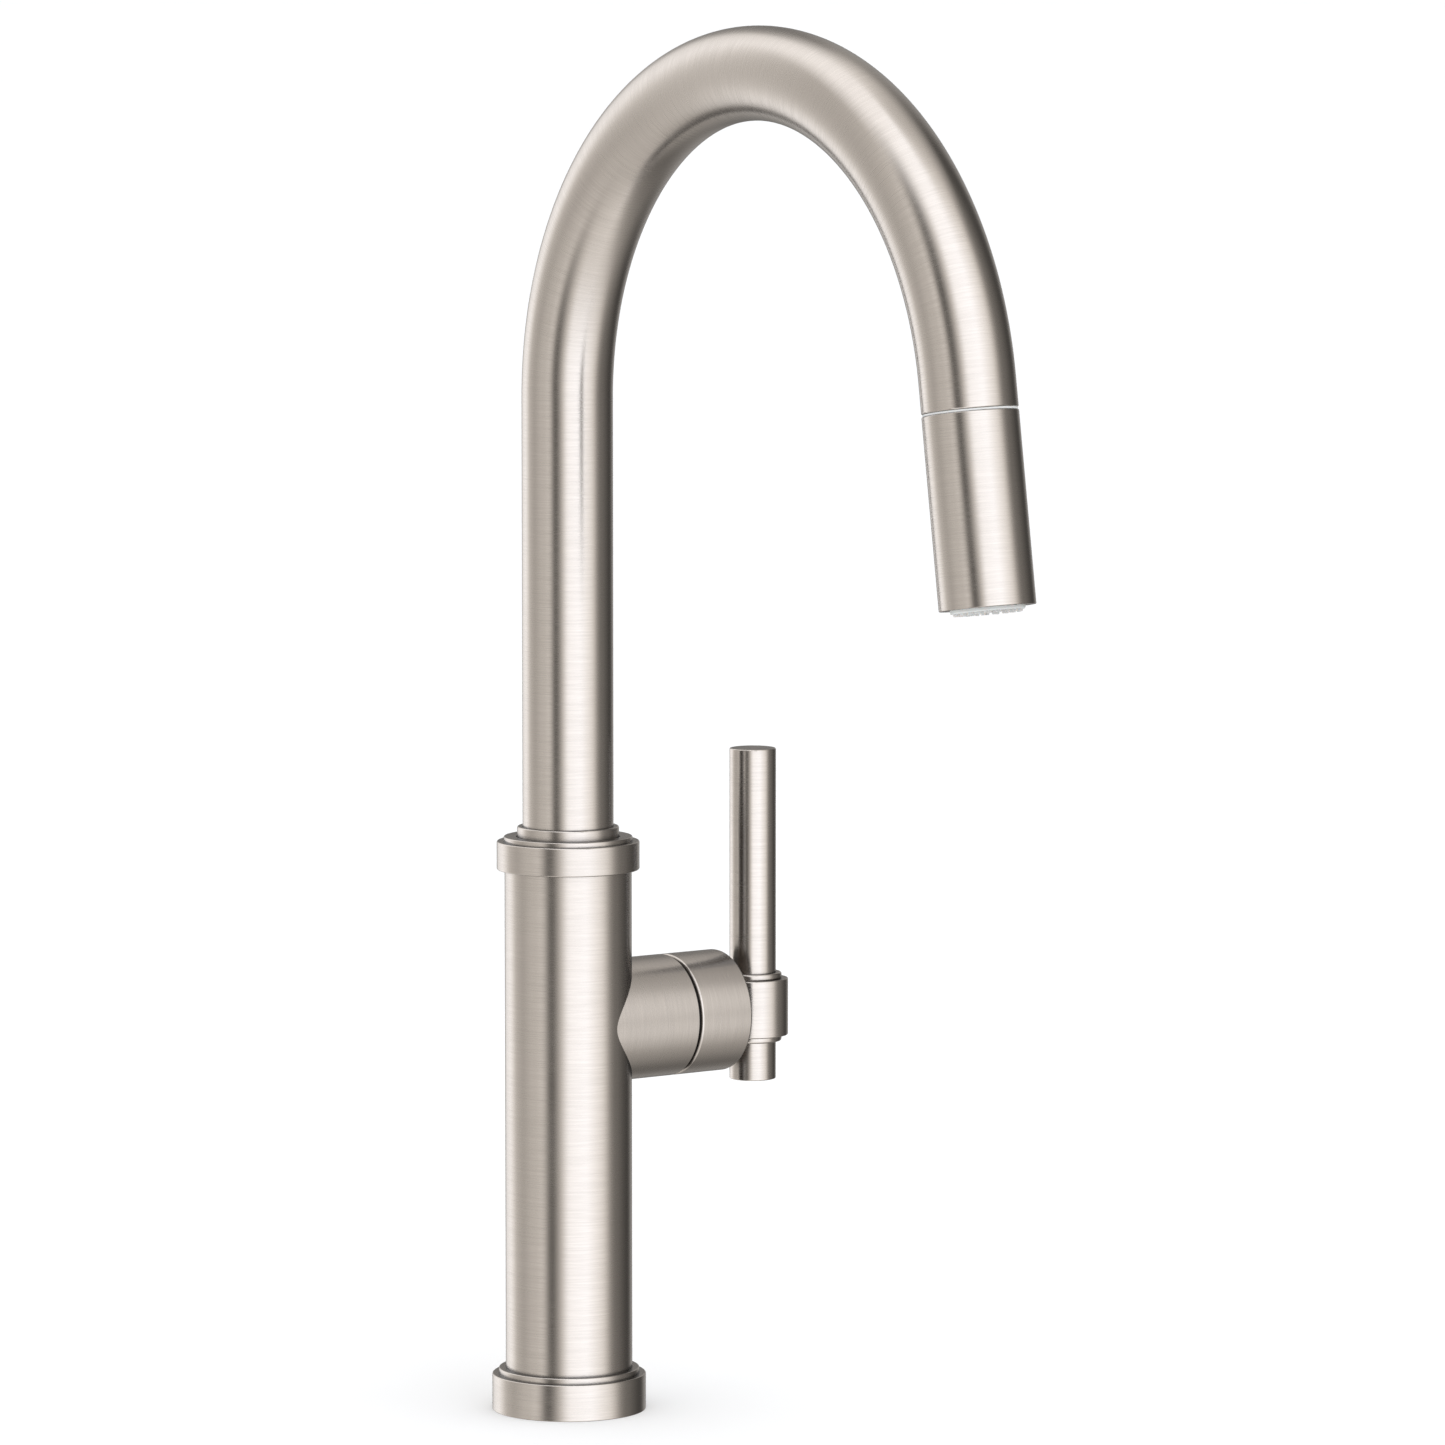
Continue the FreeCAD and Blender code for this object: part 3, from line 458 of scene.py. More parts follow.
def thicken(piece, wall):
    modifier = piece.modifiers.new("Solidify", "SOLIDIFY")
    modifier.thickness = wall * mm
    modifier.offset = -1


# the coordinates that the brushing reads: a piece as if it stood straight about Z, face by face
def layBrushing(bm, straighten=lambda point, face: point):
    brush = bm.loops.layers.float_vector.new("brush")
    uv = bm.loops.layers.uv.new("brushUV")
    for face in bm.faces:
        centre = straighten(face.calc_center_median(), face)
        middle = math.atan2(centre.y, centre.x)
        points = [straighten(loop.vert.co, face) for loop in face.loops]
        radii = [math.hypot(point.x, point.y) for point in points]
        heights = [point.z for point in points]
        across = max(radii) - min(radii) > max(heights) - min(heights)
        for loop, point, radius in zip(face.loops, points, radii):
            angle = math.atan2(point.y, point.x) if radius > poleRadius else middle
            angle += fullTurn * round((middle - angle) / fullTurn)
            loop[brush] = (point.x, point.y, point.z - radius)
            loop[uv].uv = (angle / fullTurn, radius if across else point.z)


def placePiece(name, bm, place, body, material, replaced=(), weighted=True):
    bm.transform(toMetres @ place)
    for edge in bm.edges:
        edge.smooth = edge.smooth and edge.calc_face_angle(0) < sharpAngle
    mesh = bpy.data.meshes.new(name)
    bm.to_mesh(mesh)
    bm.free()
    mesh.materials.append(material)
    mesh.shade_smooth()
    piece = bpy.data.objects.new(name, mesh)
    bpy.context.scene.collection.objects.link(piece)
    if weighted:
        modifier = piece.modifiers.new("Weighted Normal", "WEIGHTED_NORMAL")
        modifier.keep_sharp = True
    if body:
        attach(piece, body)
    if replaced:
        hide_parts(*replaced)
    return piece


def turnedNickel(name, look, place, body, replaced):
    bm = turn(look["outline"], look["steps"])
    layBrushing(bm)
    return placePiece(name, bm, place, body, nickel, replaced)


def turnedPlastic(name, look, replaced):
    bm = turn(look["outline"], look["steps"])
    return placePiece(name, bm, onWand, "wand", palePlastic, replaced)


baseFlange = {
    "steps": 160,
    "outline": [
        (17.3, 2.2, 0), (25.2, 2.2, 0), (25.2, 0, 0), (26.9875, 0, 0.3), (26.9875, 12.8, 0.5),
        (24.7, 12.8, 0), (24.7, 14.8, 0.5), (22.275, 14.8, 0), (22.275, 5.0, 0), (17.3, 5.0, 0),
    ],
}
turnedNickel("BaseFlange", baseFlange, upright, "column", ["base_flange"])

topCollar = {
    "steps": 160,
    "outline": [
        (21.05, 190.8, 0), (24.95, 190.8, 0.5), (24.95, 200.8, 0.5), (18.4, 200.8, 0),
        (18.4, 197.95, 0), (21.05, 197.95, 0),
    ],
}
turnedNickel("TopCollar", topCollar, upright, "column", ["top_collar"])

stepRing = {
    "steps": 160,
    "outline": [(18.1, 200.8, 0), (22.5, 200.8, 0), (22.5, 202.45, 0.4), (18.1, 202.45, 0.2)],
}
turnedNickel("StepRing", stepRing, upright, "column", ["step_ring"])

spoutRing = {
    "steps": 144,
    "outline": [(15.9, 201.0, 0), (17.8, 201.0, 0), (17.8, 206.0, 0.6), (15.9, 206.0, 0.2)],
}
turnedNickel("SpoutRing", spoutRing, upright, "spout", ["spout_ring"])

columnCasting = {
    "steps": 160,
    "outer": [
        (0, 5.0, 0), (22.225, 5.0, 0.2), (22.225, 190.8, 0),
        (21.0, 190.8, 0), (21.0, 195.0, 0.2), (0, 195.0, 0),
    ],
    "housing": [(0, 2.0, 0), (21.46, 2.0, 0), (21.46, 41.3, 0.3), (0, 41.3, 0)],
    "bore": [(0, 24.0, 0), (18.9, 24.0, 0), (18.9, 196.0, 0), (0, 196.0, 0)],
    "socket": [(0, 4.0, 0), (17.05, 4.0, 0), (17.05, 25.0, 0), (0, 25.0, 0)],
    "sideBore": [(0, 12.0, 0), (18.2, 12.0, 0), (18.2, 42.0, 0), (0, 42.0, 0)],
    "housingRadius": 21.46,
    # which faces are brushed round the handle's axis: how near the housing's radius they lie, how far
    # inside the column's skin they start, and how much they may lean towards the handle
    "near": 0.1,
    "inside": 2,
    "lean": 0.3,
}


def offHandleAxis(point):
    return math.hypot(point.y, point.z - faucet["handleHeight"])


def makeColumn():
    look = columnCasting
    column = turn(look["outer"], look["steps"])
    housing = turn(look["housing"], look["steps"])
    housing.transform(onHandle)
    sideBore = turn(look["sideBore"], look["steps"])
    sideBore.transform(onHandle)
    joined = combine(column, [housing], "UNION")
    bores = [turn(look["bore"], look["steps"]), turn(look["socket"], look["steps"]), sideBore]
    bm = combine(joined, bores, "DIFFERENCE")
    fromHandle = onHandle.inverted()
    housingFace = bm.faces.layers.int.new("housingFace")
    for face in bm.faces:
        centre = face.calc_center_median()
        face[housingFace] = centre.x > faucet["columnRadius"] or (
            abs(offHandleAxis(centre) - look["housingRadius"]) < look["near"]
            and math.hypot(centre.x, centre.y) > faucet["columnRadius"] - look["inside"]
            and abs(face.normal.x) < look["lean"]
        )
    for edge in bm.edges:
        edge.smooth = len({face[housingFace] for face in edge.link_faces}) < 2
    layBrushing(bm, lambda point, face: (fromHandle @ point) if face[housingFace] else point)
    return bm


placePiece("ColumnCasting", makeColumn(), upright, "column", nickel, ["body_column"])
print("base and column made")

handleCap = {
    "steps": 144,
    "outline": [
        (19.95, 42.4, 0), (21.46, 42.4, 0.9), (21.46, 64.2, 0.8), (19.4, 64.2, 0.3), (12.2, 60.6, 0.3),
        (12.2, 58.6, 0), (18.8, 58.6, 0), (18.8, 44.9, 0), (19.95, 44.9, 0),
    ],
}
turnedNickel("HandleCap", handleCap, onHandle, "cap", ["handle_cap"])

stemDome = {
    "centre": 46.0,
    "radius": 17.2,
    "wall": 1.2,
    "from": 24.3,  # degrees off the handle's axis, at the neck
    "to": 65.5,
    "rings": 14,
    "steps": 96,
}


def makeStemDome():
    look = stemDome
    bm = bmesh.new()
    middle = Vector((0, 0, look["centre"]))
    start = math.radians(look["from"])
    first = bm.verts.new((
        look["radius"] * math.sin(start), 0, look["centre"] + look["radius"] * math.cos(start),
    ))
    bmesh.ops.spin(
        bm, geom=[first], cent=middle, axis=(0, 1, 0), dvec=(0, 0, 0),
        angle=math.radians(look["to"] - look["from"]), steps=look["rings"], use_merge=False,
    )
    bmesh.ops.spin(
        bm, geom=bm.verts[:] + bm.edges[:], cent=(0, 0, 0), axis=(0, 0, 1), dvec=(0, 0, 0),
        angle=fullTurn, steps=look["steps"], use_merge=True,
    )
    bmesh.ops.remove_doubles(bm, verts=bm.verts[:], dist=mergeGap)
    bmesh.ops.recalc_face_normals(bm, faces=bm.faces[:])
    bm.faces.ensure_lookup_table()
    faceAwayFrom(bm, bm.faces[0], middle)
    bmesh.ops.solidify(bm, geom=bm.faces[:], thickness=look["wall"])
    bmesh.ops.recalc_face_normals(bm, faces=bm.faces[:])
    layBrushing(bm)
    return bm


placePiece("StemDome", makeStemDome(), onHandle, "lever", nickel, ["stem_shroud"])

leverHub = {
    "steps": 128,
    "barrel": [(0, -10.15, 0), (12.6, -10.15, 0.4), (12.6, 10.15, 0.4), (0, 10.15, 0)],
    "rodBore": [(0, -15, 0), (8.3, -15, 0), (8.3, 15, 0), (0, 15, 0)],
    "neck": [(0, -23.75, 0), (7.0, -23.75, 0.3), (7.0, -2.0, 0), (0, -2.0, 0)],
    "neckSteps": 64,
    "neckStart": -12.61,  # where the neck comes out of the barrel
    "socketHalf": 4.05,
    "socketFrom": -25.0,
    "socketTo": -13.25,
}


def makeLeverHub():
    look = leverHub
    alongX = Matrix.Rotation(math.pi / 2, 4, "Y")
    neck = turn(look["neck"], look["neckSteps"])
    neck.transform(alongX)
    socket = bmesh.new()
    bmesh.ops.create_cube(socket, size=2 * look["socketHalf"])
    length = look["socketTo"] - look["socketFrom"]
    bmesh.ops.scale(socket, vec=(length / (2 * look["socketHalf"]), 1, 1), verts=socket.verts[:])
    middle = (look["socketTo"] + look["socketFrom"]) / 2
    bmesh.ops.translate(socket, vec=(middle, 0, 0), verts=socket.verts[:])
    joined = combine(turn(look["barrel"], look["steps"]), [neck], "UNION")
    bm = combine(joined, [turn(look["rodBore"], look["steps"]), socket], "DIFFERENCE")
    fromX = alongX.inverted()

    def straighten(point, face):
        return fromX @ point if face.calc_center_median().x < look["neckStart"] else point

    layBrushing(bm, straighten)
    return bm


placePiece("LeverHub", makeLeverHub(), onLever, "lever", nickel, ["handle_hub"])

hubRings = {
    "steps": 112,
    "upper": [(8.3, 10.15, 0), (10.3, 10.15, 0.45), (10.3, 12.35, 0.8), (8.3, 12.35, 0.2)],
    "lower": [(8.3, -12.35, 0.2), (10.3, -12.35, 0.8), (10.3, -10.15, 0.45), (8.3, -10.15, 0)],
}


def makeHubRings():
    bm = turn(hubRings["upper"], hubRings["steps"])
    addTo(bm, turn(hubRings["lower"], hubRings["steps"]))
    layBrushing(bm)
    return bm


placePiece("HubRings", makeHubRings(), onLever, "lever", nickel, ["hub_rings"])

leverRod = {
    "steps": 112,
    "outline": [(0, -25.9, 0), (8.25, -25.9, 0.45), (8.25, 92.3, 0.5), (0, 92.3, 0)],
}
turnedNickel("LeverRod", leverRod, onLever, "lever", ["lever_rod"])
print("handle made")

gooseneck = {
    "radius": 15.875,
    "wall": 1.5,
    "footHeight": 160.0,
    "rings": 144,
    "steps": 112,
    "endGap": 0.45,
    "lip": 0.4,
    "lipSegments": 3,
    "lipAngle": 60,  # degrees
}


# a hollow tube that runs up from a foot, round the arch by some angle, and straight on by a tail
def makeBentTube(radius, footHeight, archTurn, tail, rings, steps, lip=0):
    bm = bmesh.new()
    bmesh.ops.create_circle(bm, cap_ends=False, radius=radius, segments=steps)
    bmesh.ops.translate(bm, vec=(0, 0, footHeight), verts=bm.verts[:])
    edges = pushOn(bm, bm.edges[:], (0, 0, faucet["archHeight"] - footHeight))
    swept = bmesh.ops.spin(
        bm, geom=edges + list({vert for edge in edges for vert in edge.verts}),
        cent=(0, -faucet["archRadius"], faucet["archHeight"]), axis=(1, 0, 0), dvec=(0, 0, 0),
        angle=math.radians(archTurn), steps=rings, use_merge=False,
    )["geom_last"]
    edges = [item for item in swept if isinstance(item, bmesh.types.BMEdge)]
    if tail > 0:
        edges = pushOn(bm, edges, outletWay * (tail - lip))
        pushOn(bm, edges, outletWay * lip)
    bmesh.ops.recalc_face_normals(bm, faces=bm.faces[:])
    bm.faces.ensure_lookup_table()
    lowest = min(bm.faces, key=lambda face: face.calc_center_median().z)
    faceAwayFrom(bm, lowest, Vector((0, 0, lowest.calc_center_median().z)))
    return bm


# straightens the arch, so that z runs along the tube
def unbend(point, face):
    centre = Vector((0, -faucet["archRadius"], faucet["archHeight"]))
    if point.z <= faucet["archHeight"] and point.y > -faucet["archRadius"]:
        return point
    angle = math.atan2(point.z - centre.z, point.y - centre.y)
    turned = math.radians(faucet["archTurn"])
    if angle < -math.pi / 2:
        angle += fullTurn
    angle = min(angle, turned)
    local = Matrix.Rotation(-angle, 4, "X") @ (point - centre)
    along = faucet["archHeight"] + angle * faucet["archRadius"] + local.z
    return Vector((local.x, local.y - faucet["archRadius"], along))


def placeGooseneck():
    look = gooseneck
    bm = makeBentTube(
        look["radius"], look["footHeight"], faucet["archTurn"],
        faucet["archTail"] - look["endGap"], look["rings"], look["steps"], look["lip"],
    )
    layBrushing(bm, unbend)
    piece = placePiece(
        "Gooseneck", bm, upright, "spout", nickel, ["spout_tube"], weighted=False,
    )
    thicken(piece, look["wall"])
    rounding = piece.modifiers.new("Bevel", "BEVEL")
    rounding.width = look["lip"] * mm
    rounding.segments = look["lipSegments"]
    rounding.limit_method = "ANGLE"
    rounding.angle_limit = math.radians(look["lipAngle"])
    normals = piece.modifiers.new("Weighted Normal", "WEIGHTED_NORMAL")
    normals.keep_sharp = True


placeGooseneck()
print("gooseneck made")

# the wand is measured down from the seam, so its heights are negative
wandShell = {
    "steps": 144,
    "outline": [
        (14.3, -0.45, 0), (15.9, -0.45, 0.35), (15.9, -63.8, 0.25), (12.6, -63.8, 0.2),
        (12.6, -62.6, 0), (14.3, -62.6, 0),
    ],
}
sprayButton = {
    "height": -40.0,
    "halfWidth": 4.6,
    "halfLength": 7.4,
    "corner": 12,  # segments
    "back": 11.9,
    "front": 14.0,
    "crownFrom": 13.0,  # what lies further out is pushed onto the crown
    "crownRadius": 16.7,
    "slices": 10,
    "edge": 0.45,
    "edgeAngle": 60,  # degrees
    # the window that it moves in
    "gap": 0.3,
    "windowCorner": 14,
    "windowFrom": 8.0,
    "windowTo": 20.0,
}
oblongRound = 0.999  # share of the half width, a touch short so that two corners don't meet


# an oblong with round ends in the xz plane, pushed out along y
def makeOblong(halfWidth, halfLength, nearY, farY, segments):
    bm = bmesh.new()
    corners = [
        bm.verts.new((x * halfWidth, nearY, z * halfLength)) for x, z in ((-1, -1), (1, -1), (1, 1), (-1, 1))
    ]
    bm.faces.new(corners)
    bmesh.ops.bevel(
        bm, geom=corners, offset=halfWidth * oblongRound, offset_type="OFFSET", affect="VERTICES",
        segments=segments, profile=0.5, material=-1,
    )
    made = bmesh.ops.extrude_face_region(bm, geom=bm.faces[:], use_keep_orig=True)["geom"]
    bmesh.ops.translate(bm, vec=(0, farY - nearY, 0), verts=vertsIn(made))
    bmesh.ops.recalc_face_normals(bm, faces=bm.faces[:])
    return bm


def makeWandShell():
    look = sprayButton
    window = makeOblong(
        look["halfWidth"] + look["gap"], look["halfLength"] + look["gap"],
        look["windowFrom"], look["windowTo"], look["windowCorner"],
    )
    bmesh.ops.translate(window, vec=(0, 0, look["height"]), verts=window.verts[:])
    bm = combine(turn(wandShell["outline"], wandShell["steps"]), [window], "DIFFERENCE")
    layBrushing(bm)
    return bm


placePiece("WandShell", makeWandShell(), onWand, "wand", nickel, ["wand_shell"])

wandCollar = {
    "steps": 144,
    "outline": [
        (9.2, 7.9, 0.3), (12.3, 7.9, 0.4), (12.3, 0.4, 0), (15.6, 0.4, 0.25), (15.6, -0.4, 0.25),
        (14.25, -0.4, 0), (14.25, -6.0, 0.2), (9.2, -6.0, 0.2),
    ],
}
turnedPlastic("WandCollar", wandCollar, ["wand_collar"])

sprayFace = {
    "steps": 144,
    "outline": [
        (6.4, -57.2, 0), (13.9, -57.2, 0), (13.9, -62.5, 0),
        (12.3, -62.5, 0), (12.3, -65.0, 0.5), (6.4, -65.0, 0.3),
    ],
    "nozzleRows": ((10.6, 20, 0.0), (8.3, 14, 0.5)),  # radius, count, start in steps
    "nozzleSteps": 16,
    "nozzleSegments": 2,
    "hole": [(0, -57.0, 0), (0.85, -57.0, 0), (0.85, -66.0, 0), (0, -66.0, 0)],
    "nozzle": [(0.3, -56.5, 0), (0.8, -56.5, 0), (0.8, -65.0, 0), (0.66, -65.8, 0.15), (0.3, -65.8, 0.08)],
    "mat": [(6.6, -57.15, 0), (6.6, -55.75, 0.2), (13.5, -55.75, 0.2), (13.5, -57.15, 0)],
    "matSteps": 96,
}


def nozzlePlaces():
    places = []
    for radius, count, start in sprayFace["nozzleRows"]:
        for index in range(count):
            angle = fullTurn * (index + start) / count
            places.append((radius * math.cos(angle), radius * math.sin(angle), 0))
    return places


# copies of one turned shape at each nozzle, as one mesh
def atEachNozzle(outline):
    one = turn(outline, sprayFace["nozzleSteps"], sprayFace["nozzleSegments"])
    bm = bmesh.new()
    for spot in nozzlePlaces():
        moved = one.copy()
        bmesh.ops.translate(moved, vec=spot, verts=moved.verts[:])
        addTo(bm, moved)
    one.free()
    return bm


def makeSprayFace():
    holes = atEachNozzle(sprayFace["hole"])
    return combine(turn(sprayFace["outline"], sprayFace["steps"]), [holes], "DIFFERENCE")


placePiece("SprayFace", makeSprayFace(), onWand, "wand", palePlastic, ["spray_face"])


def makeNozzles():
    bm = atEachNozzle(sprayFace["nozzle"])
    addTo(bm, turn(sprayFace["mat"], sprayFace["matSteps"]))
    return bm


placePiece("SprayNozzles", makeNozzles(), onWand, "wand", greyRubber, ["spray_nozzles"])

streamOutlet = {
    "steps": 96,
    "outline": [
        (4.9, -50.25, 0), (6.15, -50.25, 0), (6.15, -64.6, 0.4),
        (5.0, -64.6, 0.2), (5.0, -62.6, 0), (4.9, -62.6, 0),
    ],
}
turnedPlastic("StreamOutlet", streamOutlet, ["aerator"])


def makeButton():
    look = sprayButton
    bm = makeOblong(look["halfWidth"], look["halfLength"], look["back"], look["front"], look["corner"])
    for index in range(1, look["slices"]):
        x = look["halfWidth"] * (2 * index / look["slices"] - 1)
        everything = bm.verts[:] + bm.edges[:] + bm.faces[:]
        bmesh.ops.bisect_plane(bm, geom=everything, plane_co=(x, 0, 0), plane_no=(1, 0, 0))
    for vert in bm.verts:
        if vert.co.y > look["crownFrom"]:
            vert.co.y = math.sqrt(look["crownRadius"] ** 2 - vert.co.x ** 2)
    rim = [
        edge for edge in bm.edges
        if edge.calc_face_angle(0) > math.radians(look["edgeAngle"])
        and min(vert.co.y for vert in edge.verts) > look["crownFrom"]
    ]
    bmesh.ops.bevel(
        bm, geom=rim, offset=look["edge"], offset_type="OFFSET", affect="EDGES",
        segments=3, profile=0.5, material=-1,
    )
    bmesh.ops.recalc_face_normals(bm, faces=bm.faces[:])
    bmesh.ops.translate(bm, vec=(0, 0, look["height"]), verts=bm.verts[:])
    return bm


placePiece("SprayButton", makeButton(), onWand, "button", palePlastic, ["spray_button"])

buttonSpring = {
    "coilRadius": 3.15,
    "wireRadius": 0.4,
    "innerEnd": -12.5,
    "outerEnd": -8.7,
    "turns": 2.5,
    "steps": 90,
    "sides": 12,
}
atButton = Matrix.Translation((0, 0, sprayButton["height"]))
alongButton = onWand @ atButton @ Matrix.Rotation(-math.pi / 2, 4, "X")


# the coil stands on the wand's body and is pressed together by the spool
def placeButtonSpring():
    look = buttonSpring
    bm = bmesh.new()
    start = Matrix.Translation((look["coilRadius"], 0, look["innerEnd"] + look["wireRadius"]))
    bmesh.ops.create_circle(
        bm, cap_ends=False, radius=look["wireRadius"], segments=look["sides"],
        matrix=start @ Matrix.Rotation(math.pi / 2, 4, "X"),
    )
    rise = look["outerEnd"] - look["innerEnd"] - 2 * look["wireRadius"]
    bmesh.ops.spin(
        bm, geom=bm.verts[:] + bm.edges[:], cent=(0, 0, 0), axis=(0, 0, 1), dvec=(0, 0, rise / look["steps"]),
        angle=look["turns"] * fullTurn, steps=look["steps"], use_merge=False,
    )
    bmesh.ops.holes_fill(bm, edges=[edge for edge in bm.edges if edge.is_boundary], sides=0)
    bmesh.ops.recalc_face_normals(bm, faces=bm.faces[:])
    piece = placePiece("ButtonSpring", bm, alongButton, None, steel, weighted=False)
    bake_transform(piece)
    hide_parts("button_spring")


placeButtonSpring()
print("wand made")

# the length in the column and the arch stays, and the last stretch is drawn out with the wand
sprayHose = {
    "radius": 5.75,
    "wall": 1.85,
    "footHeight": -70.0,
    "steps": 48,
    "rings": 96,
    # the drawn stretch, along the wand's axis from the seam
    "stub": 30.0,
    "stubGap": 3.0,
    "farEnd": 12.6,
    "drawnRings": 40,
    "travel": 280.0,
}


def placeFixedHose():
    look = sprayHose
    freeArc = math.degrees((look["stub"] + look["stubGap"] - faucet["archTail"]) / faucet["archRadius"])
    bm = makeBentTube(
        look["radius"], look["footHeight"], faucet["archTurn"] - freeArc, 0, look["rings"], look["steps"],
    )
    layBrushing(bm, unbend)
    piece = placePiece(
        "SprayHose", bm, upright, "spout", hoseFinish, ["spray_hose"], weighted=False,
    )
    thicken(piece, look["wall"])


def placeDrawnHose():
    look = sprayHose
    bm = bmesh.new()
    bmesh.ops.create_circle(bm, cap_ends=False, radius=look["radius"], segments=look["steps"])
    bmesh.ops.translate(bm, vec=(0, 0, look["stub"]), verts=bm.verts[:])
    edges = bm.edges[:]
    step = (look["stub"] + look["farEnd"]) / look["drawnRings"]
    for ring in range(look["drawnRings"]):
        edges = pushOn(bm, edges, (0, 0, -step))
    bmesh.ops.recalc_face_normals(bm, faces=bm.faces[:])
    bm.faces.ensure_lookup_table()
    faceAwayFrom(bm, bm.faces[0], Vector((0, 0, bm.faces[0].calc_center_median().z)))
    layBrushing(bm)
    # the braid is laid out for the hose at full reach
    uv = bm.loops.layers.uv["brushUV"]
    for face in bm.faces:
        for loop in face.loops:
            share = min(max((look["stub"] - loop.vert.co.z) / look["stub"], 0), 1)
            pulled = look["travel"] * share * share * (3 - 2 * share)
            loop[uv].uv.y = loop.vert.co.z - pulled
    piece = placePiece("DrawnHose", bm, onWand, None, hoseFinish, weighted=False)
    thicken(piece, look["wall"])
    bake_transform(piece)
    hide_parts("hose_end")


placeFixedHose()
placeDrawnHose()
print("hose made")

# the parts that keep their CAD shape
finishes = {
    "deck_gasket": blackRubber,
    "shank": brass,
    "rubber_washer": blackRubber,
    "steel_washer": steel,
    "mounting_nut": brass,
    "clamp_screws": steel,
    "valve_core": brass,
    "port_seals": blackRubber,
    "cartridge_base": whitePlastic,
    "cartridge_housing": whitePlastic,
    "fixed_disc": ceramic,
    "retaining_nut": brass,
    "glide_ring": blackPlastic,
    "slip_washer": whitePlastic,
    "stem_rotor": whitePlastic,
    "drive_plate": blackPlastic,
    "moving_disc": ceramic,
    "disc_slider": whitePlastic,
    "valve_stem": brass,
    "stem_pin": steel,
    "rod_screw": steel,
    "set_screw": steel,
    "spout_bearing": brass,
    "wear_rings": whitePlastic,
    "swivel_seal": blackRubber,
    "dock_insert": blackPlastic,
    "dock_magnet": magnetGrey,
    "hose_guide": whitePlastic,
    "hose_plug": brass,
    "hose_tail": brass,
    "catch_plate": steel,
    "waterway": whitePlastic,
    "hose_nut": brass,
    "hose_seal": blackRubber,
    "inlet_filter": steel,
    "check_valve": whitePlastic,
    "spray_body": whitePlastic,
    "aerator_screens": steel,
    "diverter_spool": whitePlastic,
    "spool_seals": blackRubber,
}
for node, material in finishes.items():
    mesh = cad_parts[node].data
    mesh.materials.clear()
    mesh.materials.append(material)
print("CAD parts finished:", len(finishes))

camera = {
    "at": (-1.59059, -2.29089, 0.52935),
    "azimuth": -35.88,  # degrees
    "elevation": 5.88,
    "lens": 200.353,  # mm
    "sensor": 36,
    "farthest": 200,  # m
}

studio = {
    # brightness of the surroundings by degrees to the right of the camera, looking down, level and up
    "low": [
        (-180, 0.20), (-150, 0.30), (-110, 0.42), (-60, 0.42), (-20, 0.55), (30, 0.62),
        (60, 0.54), (90, 0.27), (125, 0.16), (150, 0.10), (165, 0.10), (180, 0.20),
    ],
    "level": [
        (-180, 0.12), (-172, 0.16), (-164, 0.24), (-154, 0.62), (-130, 0.82), (-118, 0.64), (-110, 0.43),
        (-90, 0.33), (-70, 0.44), (0, 0.46), (80, 0.27), (91, 0.16), (111, 0.09), (131, 0.04), (141, 0.05),
        (150, 0.15), (160, 0.24), (172, 0.24), (177, 0.15), (180, 0.12),
    ],
    "high": [
        (-180, 0.66), (-150, 0.80), (-60, 0.82), (-20, 0.92), (30, 0.94), (60, 0.66), (90, 0.48), (120, 0.36),
        (140, 0.36), (152, 0.46), (165, 0.58), (180, 0.66),
    ],
    # the large softbox and the dark card on its left: degrees from its middle, brightness, cover
    "softbox": [
        (-82, 0.55, 0), (-74, 0.56, 1), (-66, 0.42, 1), (-60, 0.10, 1), (-52, 0.05, 1),
        (-44, 0.26, 1), (-36, 0.54, 1), (-26, 0.92, 1), (6, 1.0, 1), (20, 0.86, 1),
        (36, 0.68, 1), (43, 0.50, 1), (52, 0.22, 1), (63, 0.12, 1), (75, 0.12, 0),
    ],
    "softboxMiddle": 28,
    "softboxFlare": 0.35,  # how much wider it is seen towards the top and bottom
    # how far up or down a way has to point, as a sine, for the high and low bands to start and be full
    "highBand": (0.66, 0.90),
    "lowBand": (-0.35, -0.8),
    "brightness": 1.65,
    "coolness": (1.0, 1.07, 1.19),  # colour of the brightest surroundings against the grey ones
    "coolPower": 3,  # a higher one keeps the cool colour to the brightest parts
    "mattLight": 1.12,  # brightness of the even surroundings that light matt surfaces
    "twiceReflected": (0.26, 0.29, 0.33),  # colour and share of the surroundings seen by a second reflection
}


def studioRamp(tree, value, stops, x, y):
    ramp = addNode(tree, "ShaderNodeValToRGB", x, y)
    elements = ramp.color_ramp.elements
    while len(elements) > 1:
        elements.remove(elements[-1])
    strongest = max(studio["coolness"])
    for index, (degrees, brightness, *cover) in enumerate(stops):
        position = (degrees + 180) / 360
        stop = elements[0] if index == 0 else elements.new(position)
        stop.position = position
        depth = brightness ** studio["coolPower"]
        colour = [brightness * (1 + (cool - 1) * depth) / strongest for cool in studio["coolness"]]
        stop.color = (*colour, cover[0] if cover else 1)
    tree.links.new(rangeNode(tree, value, -180, 180, 0.0, 1.0, x - 200, y), ramp.inputs["Fac"])
    return ramp


